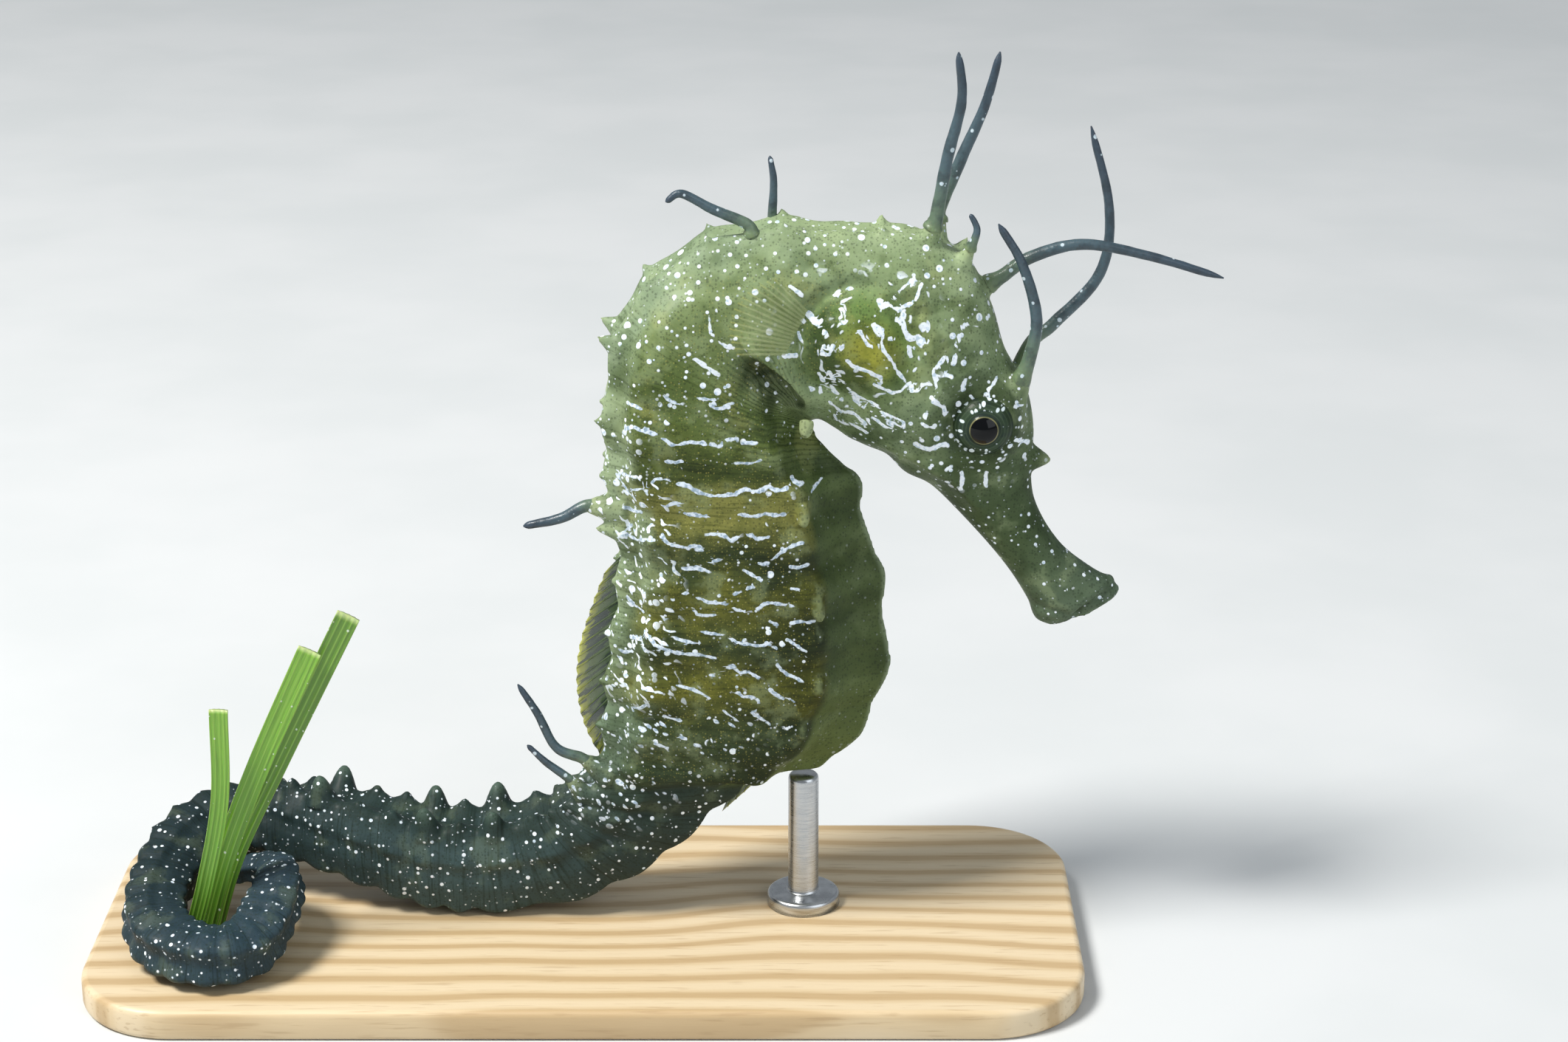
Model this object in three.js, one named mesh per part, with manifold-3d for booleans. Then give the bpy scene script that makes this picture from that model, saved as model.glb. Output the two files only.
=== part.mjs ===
// A long-snouted seahorse, life size, upright on a small display stand with its tail
// looped through the foot of three cut blades of seagrass.
// Millimetres, +Z up. The origin is the middle of the underside of the stand's base.
import * as THREE from 'three';
import { mergeVertices } from 'three/addons/utils/BufferGeometryUtils.js';
import Module from 'manifold-3d';

const wasm = await Module();
wasm.setup();

// ---------------------------------------------------------------- driving dimensions
const BASE = { length: 80, width: 34, thickness: 2.5, corner: 8, chamfer: 0.5 };
const FLOOR_GAP = 0.25;                 // between the base's top and what stands on it
const ANIMAL_PLACE = [16, 2];           // x, y of the animal's own origin on the base
const ROD = { x: 1.6, radius: 1.25, top: 11.3, footRadius: 3, footHeight: 0.9 };

const GAP = 0.3;                        // between two neighbouring lengths of the body
const EYE = { x: 15.5, y: 2.75, z: 42.3, radius: 2.6, depth: 2.2, socket: 0.3 };
const FIN_THICKNESS = 0.5;
const FEELER_TIP = 0.27;                // radius of a skin filament's end
const SECTIONS_PER_RING = { body: 2, tailEnd: 1 };   // the tail's end has rings too fine to show

// The neck folds about one point at the throat: each section is a line from near that
// point out to the nape, which bulges a little half way round.
const FOLD = { x: 2.6, z: 41.3, inner: 0.7, outer: 16.2, bulge: 1.5, from: 80, perRing: 19.2, span: 110 };

// Cross-sections, from the middle of the back (u = 1) down one side to the belly (u = -1).
// u is along the body's depth and v along its half width; the ridges are the corners.
const ROUND = Array.from({ length: 9 }, (_, i) => [Math.cos(i * Math.PI / 8), Math.sin(i * Math.PI / 8)]);
const PROFILES = {
  snout: ROUND,
  head: [[1, 0], [0.95, 0.36], [0.74, 0.68], [0.42, 0.92], [0.05, 1], [-0.33, 0.95], [-0.66, 0.72],
    [-0.9, 0.38], [-1, 0]],
  neck: [[0.96, 0], [1, 0.4], [0.8, 0.7], [0.5, 0.95], [0.05, 1], [-0.33, 0.9], [-0.65, 0.66],
    [-0.88, 0.35], [-1, 0]],
  trunk: [[0.94, 0], [1, 0.48], [0.86, 0.7], [0.68, 0.97], [0.15, 1], [-0.2, 0.94], [-0.5, 0.8],
    [-0.76, 0.26], [-1, 0]],
  tail: [[0.9, 0], [1, 0.6], [0.62, 0.9], [0.3, 0.93], [0, 0.93], [-0.4, 0.93], [-0.92, 0.7],
    [-0.9, 0.35], [-0.9, 0]],
};
const RIDGE = { superior: 1, lateral: 3, inferior: 6 };
const PLATE_DIP = { snout: 0, head: 0, neck: 0.03, trunk: 0.04, tail: 0.07 };

// The body from mouth to vent: ring number, back x and z, belly x and z, half width.
const STATIONS = [
  { ring: -10, back: [26.5, 27.2], belly: [21.4, 24.6], half: 1.3, kind: 'snout' },
  { ring: -9.7, back: [26.8, 28.2], belly: [20.2, 25.2], half: 2.0, kind: 'snout' },
  { ring: -9.1, back: [24.8, 29.3], belly: [19.5, 26.9], half: 2.1, kind: 'snout' },
  { ring: -8, back: [22.0, 31.6], belly: [17.6, 29.9], half: 1.9, kind: 'snout' },
  { ring: -6.6, back: [19.9, 35.2], belly: [14.6, 33.5], half: 2.2, kind: 'snout' },
  { ring: -5.5, back: [19.5, 38.4], belly: [11.7, 36.5], half: 2.9, kind: 'head' },
  { ring: -4.5, back: [19.6, 41.5], belly: [9.5, 37.7], half: 3.7, kind: 'head' },
  { ring: -3.5, back: [18.9, 44.8], belly: [8.0, 39.2], half: 4.2, kind: 'head' },
  { ring: -2.6, back: [17.2, 47.8], belly: [6.4, 39.9], half: 4.5, kind: 'head' },
  { ring: -1.8, back: [16.0, 51.6], belly: [5.1, 40.5], half: 4.6, kind: 'head' },
  { ring: -1, back: [13.7, 55.5], belly: [4.1, 41.2], half: 4.4, kind: 'head' },
  { ring: -0.4, back: [9.4, 57.3], belly: [3.3, 41.7], half: 4.2, kind: 'neck' },
  ...[0, 1, 2, 3].map(foldStation),
  { ring: 4, back: [-13.1, 48.8], belly: [2.2, 41.3], half: 5.1, kind: 'trunk' },
  { ring: 5, back: [-13.9, 42.5], belly: [3.5, 39.3], half: 5.2, kind: 'trunk' },
  { ring: 6, back: [-13.8, 38.1], belly: [6.0, 36.7], half: 5.3, kind: 'trunk' },
  { ring: 7, back: [-13.1, 33.7], belly: [6.6, 32.8], half: 5.4, kind: 'trunk' },
  { ring: 8, back: [-13.0, 29.3], belly: [7.7, 28.7], half: 5.4, kind: 'trunk' },
  { ring: 9, back: [-13.6, 24.9], belly: [8.1, 24.3], half: 5.4, kind: 'trunk' },
  { ring: 10, back: [-14.1, 20.7], belly: [8.1, 20.0], half: 5.2, kind: 'trunk' },
  { ring: 11, back: [-14.4, 16.8], belly: [5.8, 15.0], half: 4.9, kind: 'trunk' },
  { ring: 11.8, back: [-14.8, 13.6], belly: [2.0, 12.0], half: 4.5, kind: 'trunk' },
  { ring: 12.4, back: [-15.2, 11.8], belly: [-1.5, 12.4], half: 4.3, kind: 'tail' },
  { ring: 13.4, back: [-16.6, 10.0], belly: [-5.3, 9.6], half: 4.0, kind: 'tail' },
  { ring: 14.8, back: [-18.2, 8.9], belly: [-10.8, 4.5], half: 3.9, kind: 'tail' },
  { ring: 16, back: [-20.4, 8.1], belly: [-16.6, 1.4], half: 3.75, kind: 'tail' },
].map(fromOutline);

// The tail from there on: ring number, middle line, radius and the way its back faces.
const TAIL = [
  { ring: 17.1, at: [-24.0, 0, 3.8], radius: 3.65, out: [0, 0, 1] },
  { ring: 19, at: [-29.1, 0.1, 4.0], radius: 3.5, out: [0, 0, 1] },
  { ring: 20.9, at: [-34.1, 1.0, 5.0], radius: 3.25, out: [0, 0.1, 1] },
  { ring: 22.1, at: [-37.8, 2.3, 5.4], radius: 3.05, out: [0, 0.25, 1] },
  { ring: 23.3, at: [-40.9, 3.5, 5.4], radius: 2.95, out: [0, 0.4, 0.9] },
  { ring: 24.7, at: [-43.9, 3.8, 5.4], radius: 2.85, out: [-0.1, 0.6, 0.8] },
  { ring: 26.6, at: [-47.0, 2.4, 5.4], radius: 2.7, out: [-0.4, 0.6, 0.6] },
  { ring: 28.4, at: [-49.2, -0.5, 5.0], radius: 2.55, out: [-0.8, 0.35, 0.45] },
  { ring: 30.4, at: [-50.4, -4.5, 4.0], radius: 2.4, out: [-1, 0, 0.3] },
  { ring: 32.6, at: [-50.5, -8.6, 3.0], radius: 2.3, out: [-1, -0.2, 0.15] },
  { ring: 34.2, at: [-49.3, -11.6, 2.45], radius: 2.25, out: [-0.8, -0.6, 0] },
  { ring: 36, at: [-46.9, -13.7, 2.3], radius: 2.2, out: [-0.4, -0.95, 0] },
  { ring: 37.5, at: [-44.3, -14.2, 2.25], radius: 2.15, out: [0.1, -1, 0] },
  { ring: 39, at: [-42.2, -12.7, 2.5], radius: 2.1, out: [0.7, -0.7, -0.2] },
  { ring: 41.2, at: [-41.2, -9.7, 3.5], radius: 2.0, out: [1, -0.2, -0.1] },
  { ring: 43.6, at: [-40.7, -6.5, 4.5], radius: 1.75, out: [1, 0, 0.2] },
  { ring: 46, at: [-41.6, -3.6, 4.4], radius: 1.35, out: [0.8, 0.6, 0.3] },
  { ring: 48.3, at: [-44.0, -2.1, 3.8], radius: 1.0, out: [0, 1, 0.2] },
  { ring: 50.8, at: [-46.6, -3.2, 3.2], radius: 0.7, out: [-0.5, 0.8, 0] },
  { ring: 53, at: [-47.6, -5.6, 2.8], radius: 0.35, out: [-1, 0.2, 0] },
].map(fromTail);

// Where the body is divided into named lengths, by ring number.
const LENGTHS = [
  ['snout', -10, -6.2], ['head', -6.2, 0], ['neck', 0, 4.4], ['trunk_upper', 4.4, 7.5],
  ['trunk_middle', 7.5, 9.5], ['trunk_lower', 9.5, 12.1], ['tail_1', 12.1, 15], ['tail_2', 15, 18],
  ['tail_3', 18, 21], ['tail_4', 21, 24], ['tail_5', 24, 27.6], ['tail_6', 27.6, 31.5],
  ['tail_7', 31.5, 35.5], ['tail_8', 35.5, 39.5], ['tail_9', 39.5, 43.5], ['tail_10', 43.5, 48.3],
  ['tail_11', 48.3, 53],
];

// Blunt skin-covered spines on the ridges: the tall ones by ring, the rest by a default.
const SPINES = {
  superior: { from: 2, to: 27, tall: { 4: 1.5, 7: 1.6, 17: 1.9, 19: 1.9, 22: 2.0 }, low: 0.8 },
  lateral: { from: 7, to: 12, tall: { 7: 1.3, 9: 1.3, 11: 1.3 }, low: 0.6 },
  inferior: { from: 6, to: 13, tall: { 8: 1.4, 10: 1.4, 11: 1.2 }, low: 0.5 },
};

// Soft points of the head: foot, direction, length and radius of the foot.
// A side of 1 stands for a pair, one to each side.
const HEAD_POINTS = [
  { foot: [19.0, 0, 38.6], way: [1, 0, -0.1], length: 2.1, radius: 0.9, pair: false },
  { foot: [17.8, 1.3, 43.6], way: [0.3, 0.16, 1], length: 3.6, radius: 1.35, pair: true },
  { foot: [11.3, 1.1, 56.3], way: [0.2, 0.15, 1], length: 2.0, radius: 1.1, pair: true },
  { foot: [13.4, 1.2, 55.0], way: [0.7, 0.3, 1], length: 1.6, radius: 0.8, pair: true },
  { foot: [15.2, 0, 52.6], way: [1, 0, 0.4], length: 1.3, radius: 1.0, pair: false },
  { foot: [9.4, 2.2, 40.4], way: [-0.4, 0.5, -1], length: 1.4, radius: 0.8, pair: true },
  { foot: [11.6, 1.8, 39.0], way: [-0.2, 0.6, -1], length: 1.0, radius: 0.7, pair: true },
];

// Skin filaments: x and z of the points of a smooth line, y at its foot and end, foot radius.
const FILAMENTS = {
  filament_coronet_right: { line: [[11.7, 58.9], [12.4, 63.2], [13.4, 67.6], [13.1, 71.3]], y: [-1.3, -1.3], foot: 0.5 },
  filament_coronet_left: { line: [[12.1, 58.9], [13.8, 63.0], [15.4, 66.9], [16.4, 70.8]], y: [1.3, 1.3], foot: 0.5 },
  filament_coronet_small: { line: [[14.6, 57.1], [14.7, 57.9], [14.2, 58.9]], y: [-1.9, -1.6], foot: 0.32 },
  filament_crown: { line: [[16.9, 53.6], [19.1, 55.1], [23.0, 56.1], [28.0, 55.2], [34.0, 53.4]], y: [0, 0], foot: 0.5 },
  filament_brow_right: { line: [[19.0, 47.8], [19.4, 51.0], [18.2, 55.2], [16.3, 58.4]], y: [-2.3, -2.6], foot: 0.5 },
  filament_brow_left: { line: [[19.5, 47.6], [21.2, 49.1], [24.7, 53.2], [25.2, 58.4], [23.6, 64.8]], y: [2.3, 2.5], foot: 0.5 },
  filament_neck_right: { line: [[-2.9, 58.2], [-5.5, 59.4], [-7.8, 60.6], [-9.0, 60.0]], y: [-1.8, -2.2], foot: 0.42 },
  filament_neck_left: { line: [[-0.9, 58.0], [-0.8, 60.6], [-1.1, 62.6]], y: [1.8, 2], foot: 0.36 },
  filament_back: { line: [[-15.6, 35.6], [-17.6, 34.6], [-20.5, 34.0]], y: [-2.6, -2.8], foot: 0.45 },
  filament_tail_base_1: { line: [[-16.4, 14.0], [-18.4, 15.0], [-19.8, 18.0], [-21.3, 20.6]], y: [-2.6, -3], foot: 0.42 },
  filament_tail_base_2: { line: [[-17.6, 12.3], [-19.2, 13.6], [-20.7, 15.2]], y: [-2.6, -2.8], foot: 0.36 },
};

// Cut blades of seagrass: x, y and z along the middle line, width at the foot and the cut.
const LEAVES = {
  perch_leaf_1: { line: [[-47.0, -8.2, 0], [-44.6, -8.2, 8], [-41.4, -8.0, 16], [-37.0, -7.7, 25.5]], width: [1.7, 1.9] },
  perch_leaf_2: { line: [[-46.4, -7.2, 0], [-44.1, -7.1, 7.4], [-40.0, -6.9, 16], [-34.0, -6.6, 28]], width: [1.6, 1.9] },
  perch_leaf_3: { line: [[-47.9, -9.3, 0], [-46.0, -9.3, 6.5], [-44.5, -9.2, 13.5], [-44.2, -9.0, 21]], width: [1.3, 1.5] },
};
const LEAF_THICKNESS = 0.6;

const COLOURS = {
  skin: 0x6b7443, tail: 0x3b4743, feeler: 0x39464a, fin: 0xa8a860, eye: 0x1a1a16, leaf: 0x6f9a2c,
  wood: 0xc9ab7c, steel: 0xb9bcbf,
};

// ---------------------------------------------------------------- the body's line
function foldStation(ring) {
  const turned = ring * FOLD.perRing;
  const angle = THREE.MathUtils.degToRad(FOLD.from + turned);
  const reach = FOLD.outer + FOLD.bulge * Math.sin(Math.PI * turned / FOLD.span) ** 2;
  const out = (r) => [FOLD.x + r * Math.cos(angle), FOLD.z + r * Math.sin(angle)];
  const kind = ring < 3 ? 'neck' : 'trunk';
  return { ring, back: out(reach), belly: out(FOLD.inner), half: 4.3 + 0.2 * ring, kind };
}

function fromOutline({ ring, back, belly, half, kind }) {
  const top = new THREE.Vector3(back[0], 0, back[1]);
  const bottom = new THREE.Vector3(belly[0], 0, belly[1]);
  const out = top.clone().sub(bottom);
  const middle = top.clone().add(bottom).multiplyScalar(0.5);
  return { ring, middle, depth: out.length() / 2, out: out.normalize(), half, kind };
}

function fromTail({ ring, at, radius, out }) {
  const middle = new THREE.Vector3(...at);
  return { ring, middle, depth: radius, out: new THREE.Vector3(...out).normalize(), half: radius, kind: 'tail' };
}

const BODY = [...STATIONS, ...TAIL];

// Smooth value at a ring number between the stations, through all of them.
function smooth(ring, read) {
  const last = BODY.length - 2;
  const found = BODY.findIndex((s) => s.ring > ring) - 1;
  const i = ring >= BODY[last + 1].ring ? last : Math.max(0, found);
  const slope = (k) => {
    const a = BODY[Math.max(0, k - 1)];
    const b = BODY[Math.min(last + 1, k + 1)];
    return read(b).clone().sub(read(a)).divideScalar(b.ring - a.ring);
  };
  const span = BODY[i + 1].ring - BODY[i].ring;
  const t = (ring - BODY[i].ring) / span;
  return read(BODY[i]).clone().multiplyScalar(2 * t ** 3 - 3 * t ** 2 + 1)
    .addScaledVector(read(BODY[i + 1]), 3 * t ** 2 - 2 * t ** 3)
    .addScaledVector(slope(i), span * (t ** 3 - 2 * t ** 2 + t))
    .addScaledVector(slope(i + 1), span * (t ** 3 - t ** 2));
}

function frameAt(ring) {
  const step = 0.02;
  const ahead = smooth(Math.min(ring + step, 53), (s) => s.middle);
  const behind = smooth(Math.max(ring - step, -10), (s) => s.middle);
  const along = ahead.sub(behind).normalize();
  const out = smooth(ring, (s) => s.out).normalize();
  const left = along.clone().cross(out).normalize();
  const size = smooth(ring, (s) => new THREE.Vector3(s.depth, s.half, 0));
  return { middle: smooth(ring, (s) => s.middle), out, left, normal: out.clone().cross(left), size };
}

// The section's corners at a ring number, blended between the stations' kinds.
function profileAt(ring) {
  const next = BODY.find((s) => s.ring >= ring) ?? BODY.at(-1);
  const before = BODY[Math.max(0, BODY.indexOf(next) - 1)];
  const t = next === before ? 1 : (ring - before.ring) / (next.ring - before.ring);
  const mix = (a, b) => a + (b - a) * t;
  const dip = mix(PLATE_DIP[before.kind], PLATE_DIP[next.kind]) * Math.abs(Math.sin(Math.PI * ring));
  const a = PROFILES[before.kind];
  const b = PROFILES[next.kind];
  return a.map((_, i) => [mix(a[i][0], b[i][0]) * (1 - dip), mix(a[i][1], b[i][1]) * (1 - dip)]);
}

// One corner in space; side is 1 for the animal's left (+Y over the trunk) and -1 for its right.
function cornerAt(ring, index, side) {
  const f = frameAt(ring);
  const [u, v] = profileAt(ring)[index];
  return f.middle.addScaledVector(f.out, u * f.size.x).addScaledVector(f.left, side * v * f.size.y);
}

function sectionAt(ring) {
  const right = [0, 1, 2, 3, 4, 5, 6, 7, 8].map((i) => cornerAt(ring, i, -1));
  const left = [7, 6, 5, 4, 3, 2, 1].map((i) => cornerAt(ring, i, 1));
  return [...right, ...left];
}

// ---------------------------------------------------------------- solids
// A closed skin over a row of sections with as many points each, with flat ends.
function loft(sections) {
  const count = sections[0].length;
  const points = sections.flat();
  const faces = [];
  const middle = (ring) => ring.reduce((sum, p) => sum.add(p), new THREE.Vector3()).divideScalar(count);
  for (let i = 0; i < sections.length - 1; i += 1) {
    for (let j = 0; j < count; j += 1) {
      const a = i * count + j;
      const b = i * count + (j + 1) % count;
      faces.push(a, a + count, b, b, a + count, b + count);
    }
  }
  const start = points.length;
  points.push(middle(sections[0]), middle(sections.at(-1)));
  const end = (sections.length - 1) * count;
  for (let j = 0; j < count; j += 1) {
    const next = (j + 1) % count;
    faces.push(start, j, next, start + 1, end + next, end + j);
  }
  const geometry = new THREE.BufferGeometry();
  geometry.setAttribute('position', new THREE.Float32BufferAttribute(points.flatMap((p) => p.toArray()), 3));
  geometry.setIndex(faces);
  return geometry;
}

function toSolid(geometry) {
  const bare = geometry.clone();
  bare.deleteAttribute('normal');
  bare.deleteAttribute('uv');
  const merged = mergeVertices(bare, 1e-5);
  return new wasm.Manifold(new wasm.Mesh({
    numProp: 3,
    vertProperties: new Float32Array(merged.attributes.position.array),
    triVerts: new Uint32Array(merged.index.array),
  }));
}

function toGeometry(solid) {
  const mesh = solid.getMesh();
  const geometry = new THREE.BufferGeometry();
  geometry.setAttribute('position', new THREE.BufferAttribute(new Float32Array(mesh.vertProperties), 3));
  geometry.setIndex(Array.from(mesh.triVerts));
  return geometry;
}

// A ring of points round a line, for tubes, cones and blades.
function loop(centre, along, acrossHint, halfA, halfB, count) {
  const a = acrossHint.clone().addScaledVector(along, -acrossHint.dot(along)).normalize();
  const b = along.clone().cross(a);
  return Array.from({ length: count }, (_, i) => {
    const turn = -2 * Math.PI * i / count;
    return centre.clone().addScaledVector(a, halfA * Math.cos(turn)).addScaledVector(b, halfB * Math.sin(turn));
  });
}

function cone(foot, way, length, radius) {
  const dir = way.clone().normalize();
  const hint = Math.abs(dir.y) < 0.9 ? new THREE.Vector3(0, 1, 0) : new THREE.Vector3(1, 0, 0);
  const ends = [[-0.5, radius * 1.1], [length, 0.3]];
  return toSolid(loft(ends.map(([h, r]) => loop(foot.clone().addScaledVector(dir, h), dir, hint, r, r, 4))));
}

// A tapered tube along a smooth line.
function feeler(points, footRadius, tipRadius, sides) {
  const curve = new THREE.CatmullRomCurve3(points);
  const steps = Math.max(4, Math.round(curve.getLength() / 1.9));
  const rings = [];
  for (let i = 0; i <= steps; i += 1) {
    const t = i / steps;
    const radius = THREE.MathUtils.lerp(footRadius, tipRadius, t);
    rings.push(loop(curve.getPointAt(t), curve.getTangentAt(t), new THREE.Vector3(0, 1, 0), radius, radius, sides));
  }
  return loft(rings);
}

function spineHeight(ridge, ring) {
  const rule = SPINES[ridge];
  const fade = ring > 24 ? 0.6 : 1;
  return (rule.tall[ring] ?? rule.low) * fade;
}

function bodyLength(name, from, to) {
  const rings = [];
  const first = Math.max(-10, from - 0.5);
  const last = Math.min(53, to + 0.5);
  const perRing = from < 31 ? SECTIONS_PER_RING.body : SECTIONS_PER_RING.tailEnd;
  const count = Math.ceil((last - first) * perRing);
  for (let i = 0; i <= count; i += 1) rings.push(first + (last - first) * i / count);
  let solid = toSolid(loft(rings.map(sectionAt)));
  for (const ridge of Object.keys(SPINES)) {
    const rule = SPINES[ridge];
    for (let ring = Math.max(rule.from, Math.ceil(from + 0.2)); ring < Math.min(rule.to, to - 0.2); ring += 1) {
      for (const side of [-1, 1]) {
        const foot = cornerAt(ring, RIDGE[ridge], side);
        const way = foot.clone().sub(frameAt(ring).middle).normalize();
        if (ridge === 'superior') way.addScaledVector(frameAt(ring).out, 1.2);
        const height = spineHeight(ridge, ring);
        solid = solid.add(cone(foot.addScaledVector(way.normalize(), -0.3), way, height + 0.3, 0.35 + 0.35 * height));
      }
    }
  }
  if (name === 'head') solid = finishHead(solid);
  if (from > -10) solid = trim(solid, from, 1);
  if (to < 53) solid = trim(solid, to, -1);
  return toGeometry(solid);
}

// Cuts a length off square at a ring number, half a gap short of it.
function trim(solid, ring, keep) {
  const f = frameAt(ring);
  const ahead = frameAt(ring + 0.05).middle.sub(frameAt(ring - 0.05).middle);
  const normal = f.normal.multiplyScalar(Math.sign(f.normal.dot(ahead)) * keep);
  return solid.trimByPlane(normal.toArray(), normal.dot(f.middle) + GAP / 2);
}

function finishHead(solid) {
  let head = solid;
  for (const point of HEAD_POINTS) {
    for (const side of point.pair ? [-1, 1] : [1]) {
      const foot = new THREE.Vector3(point.foot[0], side * point.foot[1], point.foot[2]);
      const way = new THREE.Vector3(point.way[0], side * point.way[1], point.way[2]);
      head = head.add(cone(foot, way, point.length, point.radius));
    }
  }
  for (const side of [-1, 1]) {
    const socket = eyeball(EYE.socket, 10, 7);
    head = head.subtract(toSolid(socket.translate(EYE.x, side * EYE.y, EYE.z)));
  }
  return head;
}

// An eye is a ball flattened towards the head's middle; margin makes its socket.
function eyeball(margin, around, down) {
  const ball = new THREE.SphereGeometry(EYE.radius + margin, around, down);
  return ball.scale(1, (EYE.depth + margin) / (EYE.radius + margin), 1);
}

// ---------------------------------------------------------------- fins, blades and stand
// A fan of fin rays as one thin plate: straight foot, round outer edge.
function pectoralFin(side) {
  const shape = new THREE.Shape();
  shape.moveTo(0, -2.2);
  shape.lineTo(0, 2.2);
  shape.bezierCurveTo(2.4, 4.2, 5.6, 3.4, 5.7, 0.4);
  shape.bezierCurveTo(5.8, -2.4, 2.6, -3.9, 0, -2.2);
  const fin = new THREE.ExtrudeGeometry(shape, { depth: FIN_THICKNESS, bevelEnabled: false, curveSegments: 6 });
  fin.translate(0, 0, -FIN_THICKNESS / 2);
  const away = new THREE.Vector3(-0.86, side * 0.26, 0.42).normalize();
  const up = new THREE.Vector3(0.42, 0, 0.86).normalize();
  const face = away.clone().cross(up).normalize();
  const turn = new THREE.Matrix4().makeBasis(away, up, face);
  return fin.applyMatrix4(turn.setPosition(0.6, side * 5.6, 50.8));
}

function dorsalFin() {
  const rings = [7.9, 8.5, 9.1, 9.8, 10.5, 11.2, 11.9];
  const rows = rings.map((ring, i) => {
    const f = frameAt(ring);
    const foot = cornerAt(ring, 0, 1).addScaledVector(f.out, 0.35);
    const height = 0.8 + 3.1 * Math.sin(Math.PI * (i + 0.6) / (rings.length + 0.4)) ** 0.7;
    const edge = foot.clone().addScaledVector(f.out, height);
    const half = new THREE.Vector3(0, FIN_THICKNESS / 2, 0);
    return [foot.clone().add(half), edge.clone().add(half), edge.sub(half), foot.sub(half)];
  });
  return loft(rows);
}

function analFin() {
  const shape = new THREE.Shape([[-1.6, 11.8], [-3.0, 11.1], [-5.2, 8.3], [-4.0, 7.7]]
    .map(([x, z]) => new THREE.Vector2(x, z)));
  const fin = new THREE.ExtrudeGeometry(shape, { depth: FIN_THICKNESS, bevelEnabled: false });
  return fin.rotateX(Math.PI / 2).translate(0, FIN_THICKNESS / 2, 0);
}

function leaf({ line, width }) {
  const curve = new THREE.CatmullRomCurve3(line.map((p) => new THREE.Vector3(...p)));
  const steps = 6;
  const rings = [];
  for (let i = 0; i <= steps; i += 1) {
    const t = i / steps;
    const half = THREE.MathUtils.lerp(width[0], width[1], t) / 2;
    rings.push(loop(curve.getPointAt(t), curve.getTangentAt(t), new THREE.Vector3(1, 0, 0),
      half, LEAF_THICKNESS / 2, 6));
  }
  return loft(rings);
}

function baseSlab() {
  const { length, width, thickness, corner, chamfer } = BASE;
  const x = length / 2 - corner;
  const y = width / 2 - corner;
  const radius = corner - chamfer;
  const shape = new THREE.Shape();
  shape.absarc(x, y, radius, 0, Math.PI / 2);
  shape.absarc(-x, y, radius, Math.PI / 2, Math.PI);
  shape.absarc(-x, -y, radius, Math.PI, 1.5 * Math.PI);
  shape.absarc(x, -y, radius, 1.5 * Math.PI, 2 * Math.PI);
  shape.closePath();
  const slab = new THREE.ExtrudeGeometry(shape, {
    depth: thickness - 2 * chamfer, bevelThickness: chamfer, bevelSize: chamfer, bevelSegments: 1, curveSegments: 4,
  });
  return slab.translate(0, 0, chamfer);
}

// The rod stands on a low round foot and ends just under the belly keel.
function rod() {
  const { radius, top, footRadius, footHeight } = ROD;
  const profile = [[0, 0], [footRadius, 0], [footRadius, footHeight - 0.3], [footRadius - 0.3, footHeight],
    [radius, footHeight], [radius, top], [0, top]];
  return new THREE.LatheGeometry(profile.map(([r, h]) => new THREE.Vector2(r, h)), 14).rotateX(Math.PI / 2);
}

// ---------------------------------------------------------------- the scene graph
function piece(name, geometry, color, roughness, metalness = 0) {
  const clean = geometry.index ? geometry : mergeVertices(geometry);
  const mesh = new THREE.Mesh(clean, new THREE.MeshStandardMaterial({ color, roughness, metalness }));
  mesh.name = name;
  return mesh;
}

const model = new THREE.Group();
const animal = new THREE.Group();
animal.position.set(...ANIMAL_PLACE, BASE.thickness + FLOOR_GAP);
model.add(animal);

for (const [name, from, to] of LENGTHS) {
  const colour = name.startsWith('tail') ? COLOURS.tail : COLOURS.skin;
  animal.add(piece(name, bodyLength(name, from, to), colour, 0.45));
}

for (const [name, side] of [['right', -1], ['left', 1]]) {
  const eye = piece(`eye_${name}`, eyeball(0, 12, 8), COLOURS.eye, 0.1);
  eye.position.set(EYE.x, side * EYE.y, EYE.z);
  animal.add(eye);
  animal.add(piece(`pectoral_fin_${name}`, pectoralFin(side), COLOURS.fin, 0.4));
}
animal.add(piece('dorsal_fin', dorsalFin(), COLOURS.fin, 0.4));
animal.add(piece('anal_fin', analFin(), COLOURS.fin, 0.4));

for (const [name, { line, y, foot }] of Object.entries(FILAMENTS)) {
  const points = line.map(([x, z], i) => new THREE.Vector3(x, THREE.MathUtils.lerp(...y, i / (line.length - 1)), z));
  animal.add(piece(name, feeler(points, foot, FEELER_TIP, 5), COLOURS.feeler, 0.5));
}

for (const [name, blade] of Object.entries(LEAVES)) {
  animal.add(piece(name, leaf(blade), COLOURS.leaf, 0.4));
}

model.add(piece('stand_base', baseSlab(), COLOURS.wood, 0.5));
const support = piece('stand_rod', rod(), COLOURS.steel, 0.3, 1);
support.position.x = ROD.x;
animal.add(support);

export default model;
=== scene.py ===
# %% [markdown]
# # A seahorse on a display stand
# The model is a long-snouted seahorse at life size, as a museum might show it. Its tail
# holds the feet of three cut blades of seagrass, and a small rod carries the body. The
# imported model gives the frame: every piece below is made in metres, in that same frame,
# and then stands for one or more of its nodes.

# %% Load the frame
import math

import bmesh
import bpy
import numpy as np
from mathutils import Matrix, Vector
from mathutils.bvhtree import BVHTree


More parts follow.
